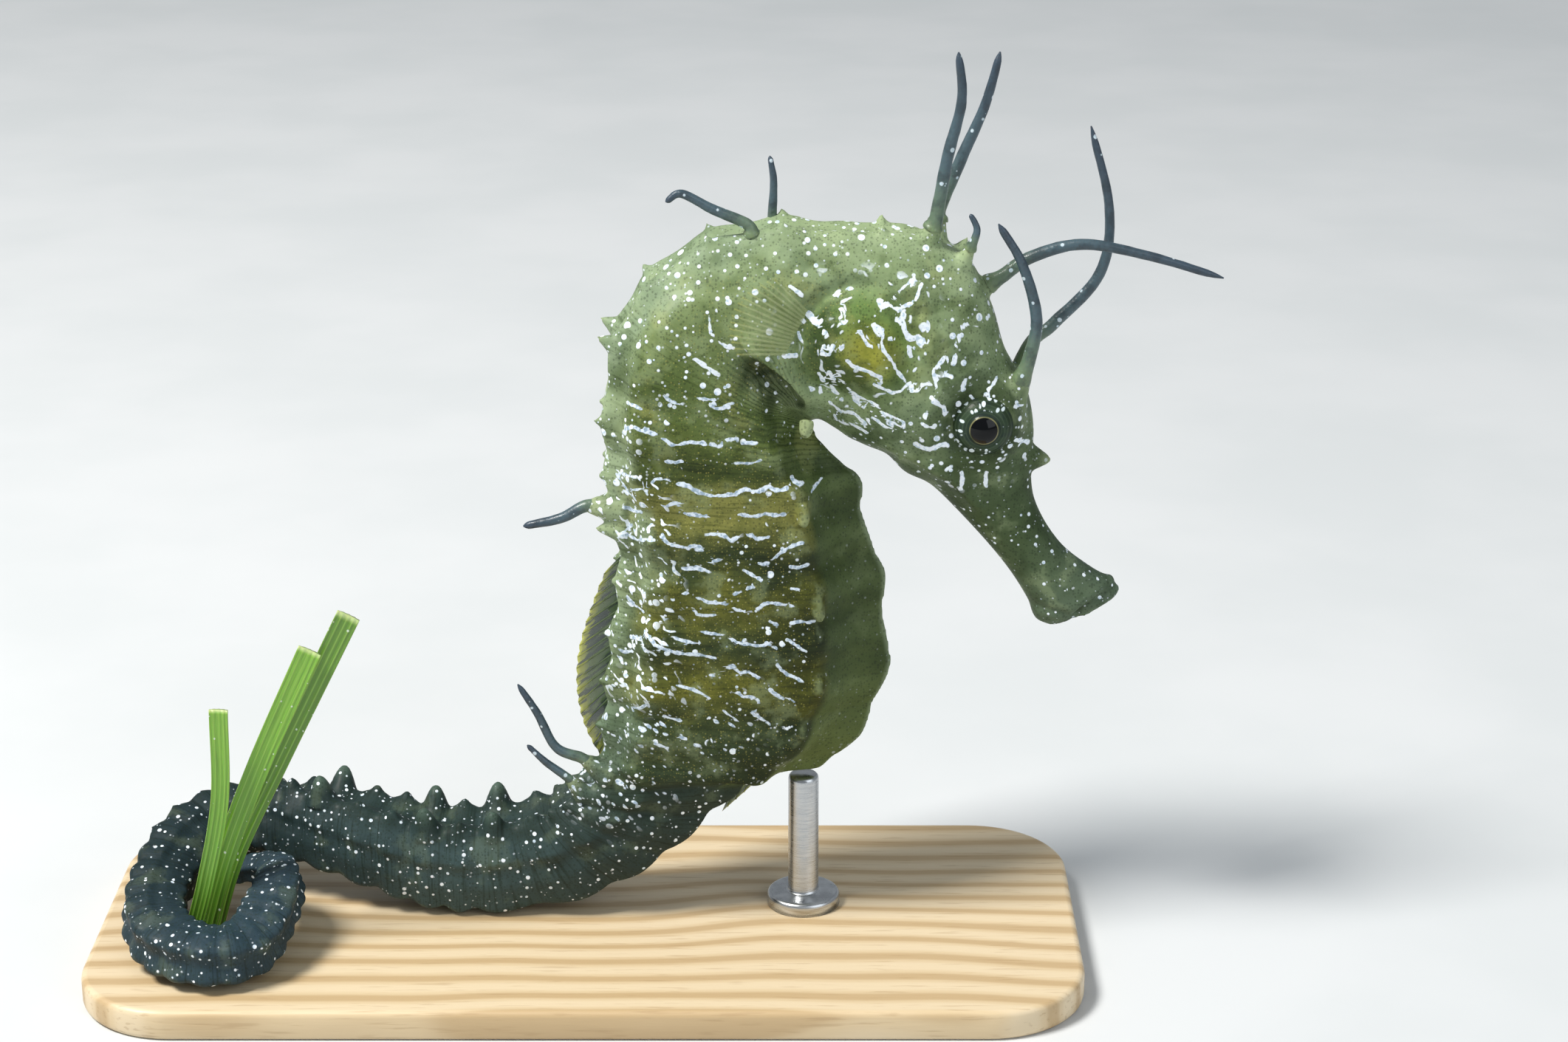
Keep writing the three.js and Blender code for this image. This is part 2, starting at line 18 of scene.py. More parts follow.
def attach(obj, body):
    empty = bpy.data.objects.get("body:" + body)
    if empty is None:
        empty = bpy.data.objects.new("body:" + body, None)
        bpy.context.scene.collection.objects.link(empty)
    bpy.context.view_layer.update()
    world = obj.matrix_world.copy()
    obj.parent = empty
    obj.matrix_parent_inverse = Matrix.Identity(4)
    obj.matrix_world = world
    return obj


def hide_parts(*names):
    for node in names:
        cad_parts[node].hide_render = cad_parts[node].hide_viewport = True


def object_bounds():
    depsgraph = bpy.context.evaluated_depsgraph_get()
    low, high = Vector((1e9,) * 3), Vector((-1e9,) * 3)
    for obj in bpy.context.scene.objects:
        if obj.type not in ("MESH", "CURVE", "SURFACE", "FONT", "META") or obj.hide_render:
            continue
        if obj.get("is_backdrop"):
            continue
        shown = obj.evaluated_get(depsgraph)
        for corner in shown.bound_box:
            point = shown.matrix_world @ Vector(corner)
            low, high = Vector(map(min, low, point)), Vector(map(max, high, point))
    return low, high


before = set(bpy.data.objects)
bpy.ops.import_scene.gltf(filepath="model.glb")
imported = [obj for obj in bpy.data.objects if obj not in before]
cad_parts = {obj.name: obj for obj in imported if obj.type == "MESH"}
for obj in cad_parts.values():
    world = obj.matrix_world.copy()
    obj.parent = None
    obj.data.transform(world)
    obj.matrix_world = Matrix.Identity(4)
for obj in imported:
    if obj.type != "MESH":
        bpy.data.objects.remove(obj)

cad_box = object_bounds()
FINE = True
print("nodes:", len(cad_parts), "box:", [round(v * 1000, 1) for v in cad_box[1] - cad_box[0]])

# %% [markdown]
# The animal is measured in millimetres from a point on the ground below its belly. That
# point stands a little right of the middle of the base, so one function moves and scales
# points to the frame, and another turns points and faces into an object at the origin.

# %% Units and places
MM = 0.001
PLACE = np.array([16.0, 2.0, 2.75])      # the animal's own origin on the stand


def placed(points):
    """Points in the animal's millimetres as points of the frame, in metres."""
    return (np.asarray(points, float) + PLACE) * MM


def new_object(name, points, faces=(), edges=(), smooth=True):
    """A mesh object from points that are already in metres."""
    mesh = bpy.data.meshes.new(name)
    mesh.from_pydata([tuple(p) for p in points], [tuple(e) for e in edges], [tuple(f) for f in faces])
    mesh.polygons.foreach_set("use_smooth", [smooth] * len(mesh.polygons))
    made = bpy.data.objects.new(name, mesh)
    bpy.context.scene.collection.objects.link(made)
    return made


def baked(source, name):
    """A plain mesh object of what source shows with its modifiers; source goes."""
    seen = source.evaluated_get(bpy.context.evaluated_depsgraph_get())
    mesh = bpy.data.meshes.new_from_object(seen)
    mesh.name = name
    made = bpy.data.objects.new(name, mesh)
    bpy.context.scene.collection.objects.link(made)
    bpy.data.objects.remove(source)
    return made


def triangles(piece):
    return sum(len(p.vertices) - 2 for p in piece.data.polygons)


def store(mesh, name, values, kind="FLOAT"):
    """Keeps one value for each point of a mesh, for nodes to read."""
    spot = mesh.attributes.new(name, kind, "POINT")
    field = "vector" if kind == "FLOAT_VECTOR" else "value"
    spot.data.foreach_set(field, np.asarray(values, np.float32).ravel())


# %% [markdown]
# ## Camera, floor and light
# A standing viewer looks a little down on the case. The floor is a plain pale sheet.
# One large soft lamp stands high on the left, so the rings, ridges and spines throw
# short soft shadows to the right, and a weak one on the other side opens those shadows.

# %% Camera
LOOK_DOWN = math.radians(20)
HALF_VIEW = math.radians(14)             # from the middle of the frame to its side
CAMERA_PLACE = (0.016, -0.2329, 0.12166)
SENSOR_WIDTH = 36
view_camera = bpy.data.objects.new("camera", bpy.data.cameras.new("camera"))
bpy.context.scene.collection.objects.link(view_camera)
view_camera.location = CAMERA_PLACE
view_camera.rotation_euler = (math.radians(90) - LOOK_DOWN, 0, 0)
view_camera.data.sensor_width = SENSOR_WIDTH
view_camera.data.lens = SENSOR_WIDTH / 2 / math.tan(HALF_VIEW)
view_camera.data.clip_start = 0.01
bpy.context.scene.camera = view_camera
print("lens:", round(view_camera.data.lens, 1), "mm")


# %% Lamps and the sky
def lamp(name, place, aim, size, power, colour):
    """A square lamp at place, turned to aim; sizes in metres, power in watts."""
    light = bpy.data.lights.new(name, "AREA")
    light.size, light.energy, light.color = size, power, colour
    holder = bpy.data.objects.new(name, light)
    bpy.context.scene.collection.objects.link(holder)
    holder.location = place
    holder.rotation_euler = (Vector(aim) - Vector(place)).to_track_quat("-Z", "Y").to_euler()


MIDDLE = (0.01, 0, 0.03)
lamp("key", (-0.36, -0.16, 0.62), MIDDLE, 0.2, 7.0, (1.0, 0.98, 0.94))
lamp("fill", (0.55, -0.5, 0.4), MIDDLE, 0.6, 1.9, (0.9, 0.95, 1.0))
world = bpy.data.worlds.new("studio")
world.use_nodes = True
world.node_tree.nodes["Background"].inputs["Color"].default_value = (0.86, 0.93, 1.0, 1)
world.node_tree.nodes["Background"].inputs["Strength"].default_value = 0.36
bpy.context.scene.world = world
bpy.context.scene.view_settings.view_transform = "Standard"

# %% [markdown]
# ## The body's line
# A seahorse is a stack of bony rings. So the body is written as a table of rings, from
# the mouth at -10 to the tail's tip at 53: where the back and the belly lie, how wide
# the ring is, and which outline its section has. A curve through the table gives any
# ring in between. A sculpted mesh could look as good, but a table can be measured.

# %% Rings of the head and trunk
FOLD = dict(x=2.6, z=41.3, inner=0.7, outer=16.2, bulge=1.5, start=80, per_ring=19.2, span=110)


def fold_ring(ring):
    """A ring of the bent neck: a line from the throat, where it turns, to the nape."""
    turned = ring * FOLD["per_ring"]
    angle = math.radians(FOLD["start"] + turned)
    reach = FOLD["outer"] + FOLD["bulge"] * math.sin(math.pi * turned / FOLD["span"]) ** 2
    ends = [(FOLD["x"] + r * math.cos(angle), FOLD["z"] + r * math.sin(angle)) for r in (reach,
        FOLD["inner"])]
    return (ring, *ends[0], *ends[1], 4.3 + 0.2 * ring, "neck" if ring < 3 else "trunk")


OUTLINE = [  # ring, back x and z, belly x and z, half width, section
    (-10, 26.5, 27.2, 21.4, 24.6, 1.3, "snout"), (-9.7, 26.8, 28.2, 20.2, 25.2, 2.0, "snout"),
    (-9.1, 24.8, 29.3, 19.5, 26.9, 2.1, "snout"), (-8, 22.0, 31.6, 17.6, 29.9, 1.9, "snout"),
    (-6.6, 19.9, 35.2, 14.6, 33.5, 2.2, "snout"), (-5.5, 19.5, 38.4, 11.7, 36.5, 2.9, "head"),
    (-4.5, 19.6, 41.5, 9.5, 37.7, 3.7, "head"), (-3.5, 18.9, 44.8, 8.0, 39.2, 4.2, "head"),
    (-2.6, 17.2, 47.8, 6.4, 39.9, 4.5, "head"), (-1.8, 16.0, 51.6, 5.1, 40.5, 4.6, "head"),
    (-1, 13.7, 55.5, 4.1, 41.2, 4.4, "head"), (-0.4, 9.4, 57.3, 3.3, 41.7, 4.2, "neck"),
    *(fold_ring(ring) for ring in (0, 1, 2, 3)),
    (4, -13.1, 48.8, 2.2, 41.3, 5.1, "trunk"), (5, -13.9, 42.5, 3.5, 39.3, 5.2, "trunk"),
    (6, -13.8, 38.1, 6.0, 36.7, 5.3, "trunk"), (7, -13.1, 33.7, 6.6, 32.8, 5.4, "trunk"),
    (8, -13.0, 29.3, 7.7, 28.7, 5.4, "trunk"), (9, -13.6, 24.9, 8.1, 24.3, 5.4, "trunk"),
    (10, -14.1, 20.7, 8.1, 20.0, 5.2, "trunk"), (11, -14.4, 16.8, 5.8, 15.0, 4.9, "trunk"),
    (11.8, -14.8, 13.6, 2.0, 12.0, 4.5, "trunk"), (12.4, -15.2, 11.8, -1.5, 12.4, 4.3, "tail"),
    (13.4, -16.6, 10.0, -5.3, 9.6, 4.0, "tail"), (14.8, -18.2, 8.9, -10.8, 4.5, 3.9, "tail"),
    (16, -20.4, 8.1, -16.6, 1.4, 3.75, "tail"),
]
print("rings from a side outline:", len(OUTLINE))

# %% Rings of the tail
TAIL = [  # ring, middle x y z, radius, the way its back faces
    (17.1, (-24.0, 0, 3.8), 3.65, (0, 0, 1)), (19, (-29.1, 0.1, 4.0), 3.5, (0, 0, 1)),
    (20.9, (-34.1, 1.0, 5.0), 3.25, (0, 0.1, 1)), (22.1, (-37.8, 2.3, 5.4), 3.05, (0, 0.25, 1)),
    (23.3, (-40.9, 3.5, 5.4), 2.95, (0, 0.4, 0.9)), (24.7, (-43.9, 3.8, 5.4), 2.85, (-0.1, 0.6, 0.8)),
    (26.6, (-47.0, 2.4, 5.4), 2.7, (-0.4, 0.6, 0.6)), (28.4, (-49.2, -0.5, 5.0), 2.55, (-0.8, 0.35, 0.45)),
    (30.4, (-50.4, -4.5, 4.0), 2.4, (-1, 0, 0.3)), (32.6, (-50.5, -8.6, 3.0), 2.3, (-1, -0.2, 0.15)),
    (34.2, (-49.3, -11.6, 2.45), 2.25, (-0.8, -0.6, 0)), (36, (-46.9, -13.7, 2.3), 2.2, (-0.4, -0.95, 0)),
    (37.5, (-44.3, -14.2, 2.25), 2.15, (0.1, -1, 0)), (39, (-42.2, -12.7, 2.5), 2.1, (0.7, -0.7, -0.2)),
    (41.2, (-41.2, -9.7, 3.5), 2.0, (1, -0.2, -0.1)), (43.6, (-40.7, -6.5, 4.5), 1.75, (1, 0, 0.2)),
    (46, (-41.6, -3.6, 4.4), 1.35, (0.8, 0.6, 0.3)), (48.3, (-44.0, -2.1, 3.8), 1.0, (0, 1, 0.2)),
    (50.8, (-46.6, -3.2, 3.2), 0.7, (-0.5, 0.8, 0)), (53, (-47.6, -5.6, 2.8), 0.35, (-1, 0.2, 0)),
]
rows = []
for ring, back_x, back_z, belly_x, belly_z, half, kind in OUTLINE:
    back, belly = np.array([back_x, 0, back_z]), np.array([belly_x, 0, belly_z])
    depth = np.linalg.norm(back - belly) / 2
    rows.append((ring, (back + belly) / 2, (back - belly) / (2 * depth), depth, half, kind))
for ring, middle, radius, out in TAIL:
    rows.append((ring, np.array(middle, float), np.array(out) / np.linalg.norm(out), radius, radius,
                 "tail"))
KNOTS = np.array([row[0] for row in rows], float)
LINE = np.array([[*row[1], *row[2], row[3], row[4]] for row in rows])
print("rings in all:", len(KNOTS), "from", KNOTS[0], "to", KNOTS[-1])

# %% [markdown]
# Each section runs from the middle of the back down both sides to the belly. Its corners
# are the animal's ridges: the superior one beside the back, the lateral one on the
# flank, and the inferior one where the belly's keel starts.

# %% Sections
def mirrored_corners(half_section):
    """All 16 corners of a section: down the right side, and up the left one."""
    right = [(u, -v) for u, v in half_section]
    left = [(u, v) for u, v in half_section[7:0:-1]]
    return right + left


SECTIONS = {
    "snout": [(math.cos(i * math.pi / 8), math.sin(i * math.pi / 8)) for i in range(9)],
    "head": [(1, 0), (0.95, 0.36), (0.74, 0.68), (0.42, 0.92), (0.05, 1), (-0.33, 0.95), (-0.66, 0.72),
             (-0.9, 0.38), (-1, 0)],
    "neck": [(0.96, 0), (1, 0.4), (0.8, 0.7), (0.5, 0.95), (0.05, 1), (-0.33, 0.9), (-0.65, 0.66),
             (-0.88, 0.35), (-1, 0)],
    "trunk": [(0.94, 0), (1, 0.48), (0.86, 0.7), (0.68, 0.97), (0.15, 1), (-0.2, 0.94), (-0.5, 0.8),
              (-0.76, 0.26), (-1, 0)],
    "tail": [(0.9, 0), (1, 0.6), (0.62, 0.9), (0.3, 0.93), (0, 0.93), (-0.4, 0.93), (-0.92, 0.7),
             (-0.9, 0.35), (-0.9, 0)],
}
CORNERS = np.array([mirrored_corners(SECTIONS[row[5]]) for row in rows])
SUPERIOR, LATERAL, INFERIOR = 1, 3, 6


def along_body(ring, values):
    """Smooth values at ring numbers, through the table's own."""
    slope = np.empty_like(values)
    slope[1:-1] = (values[2:] - values[:-2]) / (KNOTS[2:] - KNOTS[:-2])[:, None]
    slope[0] = (values[1] - values[0]) / (KNOTS[1] - KNOTS[0])
    slope[-1] = (values[-1] - values[-2]) / (KNOTS[-1] - KNOTS[-2])
    i = np.clip(np.searchsorted(KNOTS, ring, side="right") - 1, 0, len(KNOTS) - 2)
    span = (KNOTS[i + 1] - KNOTS[i])[:, None]
    t = (ring - KNOTS[i])[:, None] / span
    return (values[i] * (2 * t**3 - 3 * t**2 + 1) + values[i + 1] * (3 * t**2 - 2 * t**3)
            + slope[i] * span * (t**3 - 2 * t**2 + t) + slope[i + 1] * span * (t**3 - t**2))


def frames_at(ring):
    """Middle, the way out to the back, the way left, depth and half width at ring numbers."""
    ring = np.atleast_1d(np.asarray(ring, float))
    line = along_body(ring, LINE)
    step = 0.02
    ahead = along_body(np.minimum(ring + step, KNOTS[-1]), LINE[:, :3])
    behind = along_body(np.maximum(ring - step, KNOTS[0]), LINE[:, :3])
    out = line[:, 3:6] / np.linalg.norm(line[:, 3:6], axis=1, keepdims=True)
    left = np.cross(ahead - behind, out)
    left /= np.linalg.norm(left, axis=1, keepdims=True)
    return line[:, :3], out, left, line[:, 6], line[:, 7]


def corners_at(ring):
    """The 16 corners (u, v) of the section at each ring number."""
    flat = CORNERS.reshape(len(KNOTS), -1)
    return np.stack([np.interp(ring, KNOTS, column) for column in flat.T], axis=1).reshape(-1, 16, 2)


def corner_point(ring, index, side):
    """One corner in the animal's millimetres; side is 1 for its left and -1 for its right."""
    middle, out, left, depth, half = frames_at(ring)
    u, v = corners_at(np.atleast_1d(float(ring)))[0][index]
    return middle[0] + out[0] * u * depth[0] + left[0] * side * abs(v) * half[0]


print("nape:", corner_point(0, 0, 1).round(1), "vent:", corner_point(12.4, 8, 1).round(1))

# %% [markdown]
# ## The sweep
# The table becomes a dense sheet: rings one way, and a smooth closed curve through the
# 16 corners the other way. Its points also know their ring number, how far round the
# body they are and how deep they lie from back to belly. The marks on the skin need that later.

# %% Sweep the sections
PER_RING = 20 if FINE else 8
PER_CORNER = 12 if FINE else 6
ring_rows = np.linspace(KNOTS[0], KNOTS[-1], int((KNOTS[-1] - KNOTS[0]) * PER_RING) + 1)
turns = np.arange(16 * PER_CORNER) / PER_CORNER


def round_curve(count):
    """Weights that draw a smooth closed curve of count points through 16 corners."""
    weights = np.zeros((count, 16))
    for row in range(count):
        corner, t = divmod(row * 16 / count, 1)
        parts = (-t**3 + 2 * t**2 - t, 3 * t**3 - 5 * t**2 + 2, -3 * t**3 + 4 * t**2 + t, t**3 - t**2)
        for k, part in enumerate(parts):
            weights[row, (int(corner) + k - 1) % 16] += part / 2
    return weights


middle, out, left, depth, half = frames_at(ring_rows)
section = round_curve(len(turns)) @ corners_at(ring_rows)
u, v = section[..., 0], section[..., 1]
sheet = (middle[:, None] + out[:, None] * (u * depth[:, None])[..., None]
         + left[:, None] * (v * half[:, None])[..., None])
print("sheet:", sheet.shape[:2], "points")

# %% [markdown]
# ## Relief
# Over that sheet lie the shapes that make it a seahorse. Each bony ring swells a little,
# with a groove to the next. The ridges run from ring to ring. On the head there are the
# domed gill cover, the rim round the eye and the ridge along the cheek. All of it is
# added as heights in millimetres along the sheet's own normals.

# %% Tools for relief
ring_grid = np.repeat(ring_rows[:, None], len(turns), axis=1)
corner_grid = np.repeat(np.minimum(turns, 16 - turns)[None, :], len(ring_rows), axis=0)


def rise(x, low, high):
    """0 below low, 1 above high, and smooth between; low may be the larger one."""
    t = np.clip((x - low) / (high - low), 0, 1)
    return t * t * (3 - 2 * t)


def mound(distance, width):
    return np.exp(-(distance / width) ** 2)


def sheet_normals(points):
    """Outward normals of the sheet, from its own neighbours."""
    across = np.roll(points, -1, axis=1) - np.roll(points, 1, axis=1)
    lengthwise = np.gradient(points, axis=0)
    normal = np.cross(across, lengthwise)
    normal /= np.maximum(np.linalg.norm(normal, axis=2, keepdims=True), 1e-9)
    outward = np.sum(normal * (points - points.mean(axis=1, keepdims=True)), axis=2, keepdims=True)
    return normal * np.sign(np.median(outward))


# %% Rings and ridges
beat = 0.5 + 0.5 * np.cos(2 * np.pi * ring_grid)            # 1 on a ring, 0 between two
in_arch = rise(ring_grid, -0.6, 0.4) * rise(ring_grid, 4.6, 3.6)
in_trunk = rise(ring_grid, 3.6, 4.6) * rise(ring_grid, 12.6, 11.6)
in_tail = rise(ring_grid, 11.8, 13)
tail_size = np.clip(depth / 3.6, 0.15, 1)[:, None]

flank_calm = 1 - 0.5 * rise(corner_grid, 3.2, 3.8) * rise(corner_grid, 5.9, 5.3) - 0.4 * rise(corner_grid,
    6.3, 7)
height = in_trunk * flank_calm * (0.16 * (beat - 0.5) - 0.1 * mound(beat, 0.12))
height += in_arch * rise(corner_grid, 6.2, 4) * 0.1 * (beat - 0.5)
height += in_tail * tail_size * (0.14 * (beat - 0.4) - 0.1 * mound(beat, 0.15))
for index, size, wide in ((SUPERIOR, 0.3, 0.5), (LATERAL, 0.35, 0.45), (INFERIOR, 0.35, 0.4)):
    line = mound(corner_grid - index, wide)
    height += line * in_trunk * size * (0.35 + 0.65 * beat)
    height += line * in_tail * tail_size * (0.15 + 0.2 * beat)
height += mound(corner_grid - SUPERIOR, 0.6) * in_arch * 0.25 * beat
print("ring relief:", height.min().round(2), "to", height.max().round(2), "mm")

# %% Head, gill cover and shoulder
GILL = (5.8, 49.2, 4.4)                  # side view x, z and radius of the gill cover
EYE = dict(x=15.4, y=2.75, z=42.6, radius=2.6, depth=2.2)
side_x, side_z = sheet[..., 0], sheet[..., 2]
sideways = rise(np.abs(v), 0.45, 0.85) * rise(ring_grid, 5, 3.6)


def side_distance(x, z, wide=1.0, tall=1.0):
    return np.hypot((side_x - x) / wide, (side_z - z) / tall)


def side_line(points):
    """Distance in side view to a line through points; negative to the right of its run."""
    best = np.full(side_x.shape, 1e9)
    turned = np.ones(side_x.shape)
    for a, b in zip(points[:-1], points[1:]):
        run = np.subtract(b, a)
        dx, dz = side_x - a[0], side_z - a[1]
        t = np.clip((dx * run[0] + dz * run[1]) / (run @ run), 0, 1)
        distance = np.hypot(dx - t * run[0], dz - t * run[1])
        turned = np.where(distance < best, np.sign(run[0] * dz - run[1] * dx), turned)
        best = np.minimum(best, distance)
    return best * turned


gill = side_distance(*GILL[:2])
behind_gill = rise(side_x - side_z * 0.35, GILL[0] - 16.4, GILL[0] - 18.4)
height += sideways * 0.75 * rise(gill, GILL[2], GILL[2] * 0.35)
height -= sideways * 0.45 * mound(gill - GILL[2] * 1.08, 0.55) * (0.25 + 0.75 * behind_gill)
socket = side_distance(EYE["x"], EYE["z"])
on_head = rise(ring_grid, -0.6, -1.4)
height += sideways * on_head * 0.2 * mound(socket - 4.5, 0.35) * rise(side_z, EYE["z"] - 3, EYE["z"] + 1)
cheek = side_line([(8.3, 40.6), (10.5, 39.6), (13.1, 38.0), (15.2, 35.6)])
height += 0.35 * mound(cheek, 0.55) * on_head * rise(np.abs(v), 0.2, 0.6)
flap = side_line([(-2.6, 48.9), (-1.0, 47.6), (0.3, 46.3), (1.3, 44.8), (1.8, 43.0)])
height += sideways * np.where(flap > 0, 0.9 * mound(flap, 1.5), 0.9 * mound(flap, 0.3))
hollow = np.where(flap < 0, mound(flap + 0.5, 1.5), mound(flap, 0.25)) * rise(side_distance(-0.3, 45.4),
    4.6, 2.2)
hollow = hollow * rise(np.abs(v), 0.3, 0.7)
height -= sideways * 1.15 * hollow * rise(flap, 0.2, -0.3)
mouth = side_line([(27.2, 28.5), (25.8, 27.75), (25.1, 27.5), (24.2, 26.95), (23.4, 26.1)])
lip = side_line([(25.3, 29.6), (25.9, 28.5), (25.1, 27.5)])
chin = side_line([(20.1, 26.7), (22.7, 26.15), (23.3, 25.2)])
height -= on_head * (0.5 * mound(mouth, 0.26) - 0.15 * mound(np.abs(mouth) - 0.6, 0.3))
height -= on_head * rise(np.abs(v), 0.1, 0.4) * (0.24 * mound(lip, 0.26) + 0.26 * mound(chin, 0.26))
# painted shade: how dark the hollow behind the flap and the creases of the mouth, lip and chin are painted
shade = np.where(flap < 0, mound(flap + 0.4, 2.6), mound(flap, 0.2)) * rise(side_distance(-0.6, 45.0, 1.3),
    5.4, 1.8)
shade = np.maximum(shade * rise(np.abs(v), 0.3, 0.7), on_head * 0.75 * mound(mouth, 0.2))
shade = np.maximum(shade, on_head * 0.4 * np.maximum(mound(lip, 0.22), mound(chin, 0.22)))
pore = side_distance(10.3, 51.7, 0.7, 1.0)
height += sideways * (0.18 * mound(pore - 0.75, 0.25) - 0.35 * mound(pore, 0.45))
print("whole relief:", height.min().round(2), "to", height.max().round(2), "mm")

# %% Raise the relief
KEEL_RIM = [(5.0, 0.0), (5.7, 0.35), (6.6, -0.25), (7.9, 0.5), (8.8, -0.1), (9.6, 0.45), (10.4, -0.1),
            (11.0, 0.5),
            (11.45, 0.35), (11.8, 0.8), (12.15, 0.3), (12.5, -0.5), (12.9, 0.0)]
rim_rings, rim_steps = zip(*KEEL_RIM)
rim = np.interp(ring_rows, rim_rings, rim_steps)[:, None] * rise(u, -0.7, -0.98)
relieved = sheet + sheet_normals(sheet) * height[..., None] - out[:, None] * rim[..., None]
side_sign = np.sign(relieved[..., 1])
ball = EYE["y"] + EYE["depth"] * np.sqrt(np.clip(1 - (np.minimum(socket, 2.25) / EYE["radius"]) ** 2, 0, 1))
ball -= 0.05 + 0.7 * rise(socket, 2.25, 1.85)
by_eye = rise(socket, 3.8, 2.4) * on_head * (np.abs(v) > 0.2)
relieved[..., 1] += side_sign * by_eye * (ball - np.abs(relieved[..., 1]))
steps = np.linalg.norm(np.diff(relieved, axis=1, append=relieved[:, :1]), axis=2)
round_right = np.cumsum(steps, axis=1) - steps
around = np.where(turns[None] <= 8, round_right, round_right - steps.sum(axis=1, keepdims=True))
print("girth at ring 8:", steps.sum(axis=1)[18 * PER_RING].round(1), "mm")

# %% Close the sheet
rows_count, columns = ring_rows.size, turns.size
index = np.arange(rows_count * columns).reshape(rows_count, columns)
next_column = np.roll(index, -1, axis=1)
faces = np.stack([index[:-1], index[1:], next_column[1:], next_column[:-1]], axis=2).reshape(-1, 4)
caps = [index[0].tolist(), index[-1][::-1].tolist()]
body_points = placed(relieved.reshape(-1, 3))
body_sheet = new_object("body_sheet", body_points, faces.tolist() + caps)
print("sheet triangles:", triangles(body_sheet))

# %% [markdown]
# ## Nodes, set up once
# Geometry trees and materials are both trees of nodes. These few helpers add a node,
# wire or fill its sockets by name or number, and give back the socket it puts out.

# %% Helpers for any node tree
def wire(tree, kind, inputs=(), out=0, **settings):
    """Adds a node; inputs maps sockets to plain values or to other sockets. Gives output out."""
    node = tree.nodes.new(kind)
    for key, value in settings.items():
        setattr(node, key, value)
    for key, value in dict(inputs).items():
        socket = node.inputs[key]
        if isinstance(value, bpy.types.NodeSocket):
            tree.links.new(value, socket)
        else:
            socket.default_value = value
    return node.outputs[out]


def calc(tree, operation, *values, clamp=False):
    """One Math node."""
    return wire(tree, "ShaderNodeMath", dict(enumerate(values)), operation=operation, use_clamp=clamp)


def vector(tree, operation, *values, out=0):
    """One Vector Math node; a number goes to its Scale socket."""
    inputs = {("Scale" if operation == "SCALE" and i else i): value for i, value in enumerate(values)}
    return wire(tree, "ShaderNodeVectorMath", inputs, out, operation=operation)


def geometry_tree(name, numbers):
    """An empty geometry tree with named number inputs; gives the tree and its inputs' sockets."""
    tree = bpy.data.node_groups.new(name, "GeometryNodeTree")
    tree.interface.new_socket("Geometry", in_out="OUTPUT", socket_type="NodeSocketGeometry")
    tree.interface.new_socket("Geometry", in_out="INPUT", socket_type="NodeSocketGeometry")
    for label, value in numbers.items():
        kind = "NodeSocketInt" if isinstance(value, int) else "NodeSocketFloat"
        tree.interface.new_socket(label, in_out="INPUT", socket_type=kind).default_value = value
    tree.interface.new_socket("Material", in_out="INPUT", socket_type="NodeSocketMaterial")
    return tree, tree.nodes.new("NodeGroupInput").outputs


def finish_tree(tree, geometry, material):
    """Ends a geometry tree as plain smooth faces with their material."""
    real = wire(tree, "GeometryNodeRealizeInstances", {0: geometry})
    smooth = wire(tree, "GeometryNodeSetShadeSmooth", {"Geometry": real})
    done = wire(tree, "GeometryNodeSetMaterial", {"Geometry": smooth, "Material": material})
    tree.links.new(done, tree.nodes.new("NodeGroupOutput").inputs[0])


def grown(name, seed_object, tree, material=None, **sizes):
    """What a geometry tree makes of seed_object, as a plain mesh object."""
    modifier = seed_object.modifiers.new("tree", "NODES")
    modifier.node_group = tree
    for item in tree.interface.items_tree:
        if item.item_type == "SOCKET" and item.in_out == "INPUT":
            if item.name in sizes:
                modifier[item.identifier] = sizes[item.name]
            elif item.name == "Material" and material:
                modifier[item.identifier] = material
    return baked(seed_object, name)


# %% [markdown]
# ## Spines
# Blunt spines and soft knobs stand where the rings cross the ridges. They are all one
# shape at different sizes, so a geometry tree makes one of them and sets it on a list of
# points. Each point carries its own direction, height, width of foot and taper: a taper
# of 1 is a thorn with a wide foot, and 0 a soft drooping knob.

# %% The tree that grows spines
spine_tree, given = geometry_tree("spines", {"Sides": 12, "Taper": 1.0})
shaft = wire(spine_tree, "GeometryNodeMeshCylinder",
             {"Vertices": given["Sides"], "Side Segments": 10, "Radius": 1.0, "Depth": 1.0})
x, y, z = (wire(spine_tree, "ShaderNodeSeparateXYZ", {0: wire(spine_tree, "GeometryNodeInputPosition")},
                out=k)
           for k in range(3))
level = calc(spine_tree, "ADD", z, 0.5)
knob_width = calc(spine_tree, "MULTIPLY_ADD", level, -0.15, 1.0)
thorn_width = calc(spine_tree, "MULTIPLY_ADD",
                   calc(spine_tree, "POWER", calc(spine_tree, "SUBTRACT", 1.0, level), 1.7),
                   0.72, 0.28)
width = wire(spine_tree, "ShaderNodeMix", {0: given["Taper"], 2: knob_width, 3: thorn_width})
tip = calc(spine_tree, "MULTIPLY", calc(spine_tree, "SUBTRACT", level, 0.4, clamp=True), 1.65)
width = calc(spine_tree, "MULTIPLY", width,
             calc(spine_tree, "SQRT", calc(spine_tree, "MULTIPLY_ADD", calc(spine_tree, "POWER", tip, 2.4),
                                           -1.0, 1.0)))
shape = wire(spine_tree, "ShaderNodeCombineXYZ",
             {0: calc(spine_tree, "MULTIPLY", x, width), 1: calc(spine_tree, "MULTIPLY", y, width),
              2: level})
shaft = wire(spine_tree, "GeometryNodeSetPosition", {"Geometry": shaft, "Position": shape})


def carried(tree, name, kind="FLOAT"):
    """A value that the points of the seed object carry."""
    return wire(tree, "GeometryNodeInputNamedAttribute", {"Name": name}, data_type=kind)


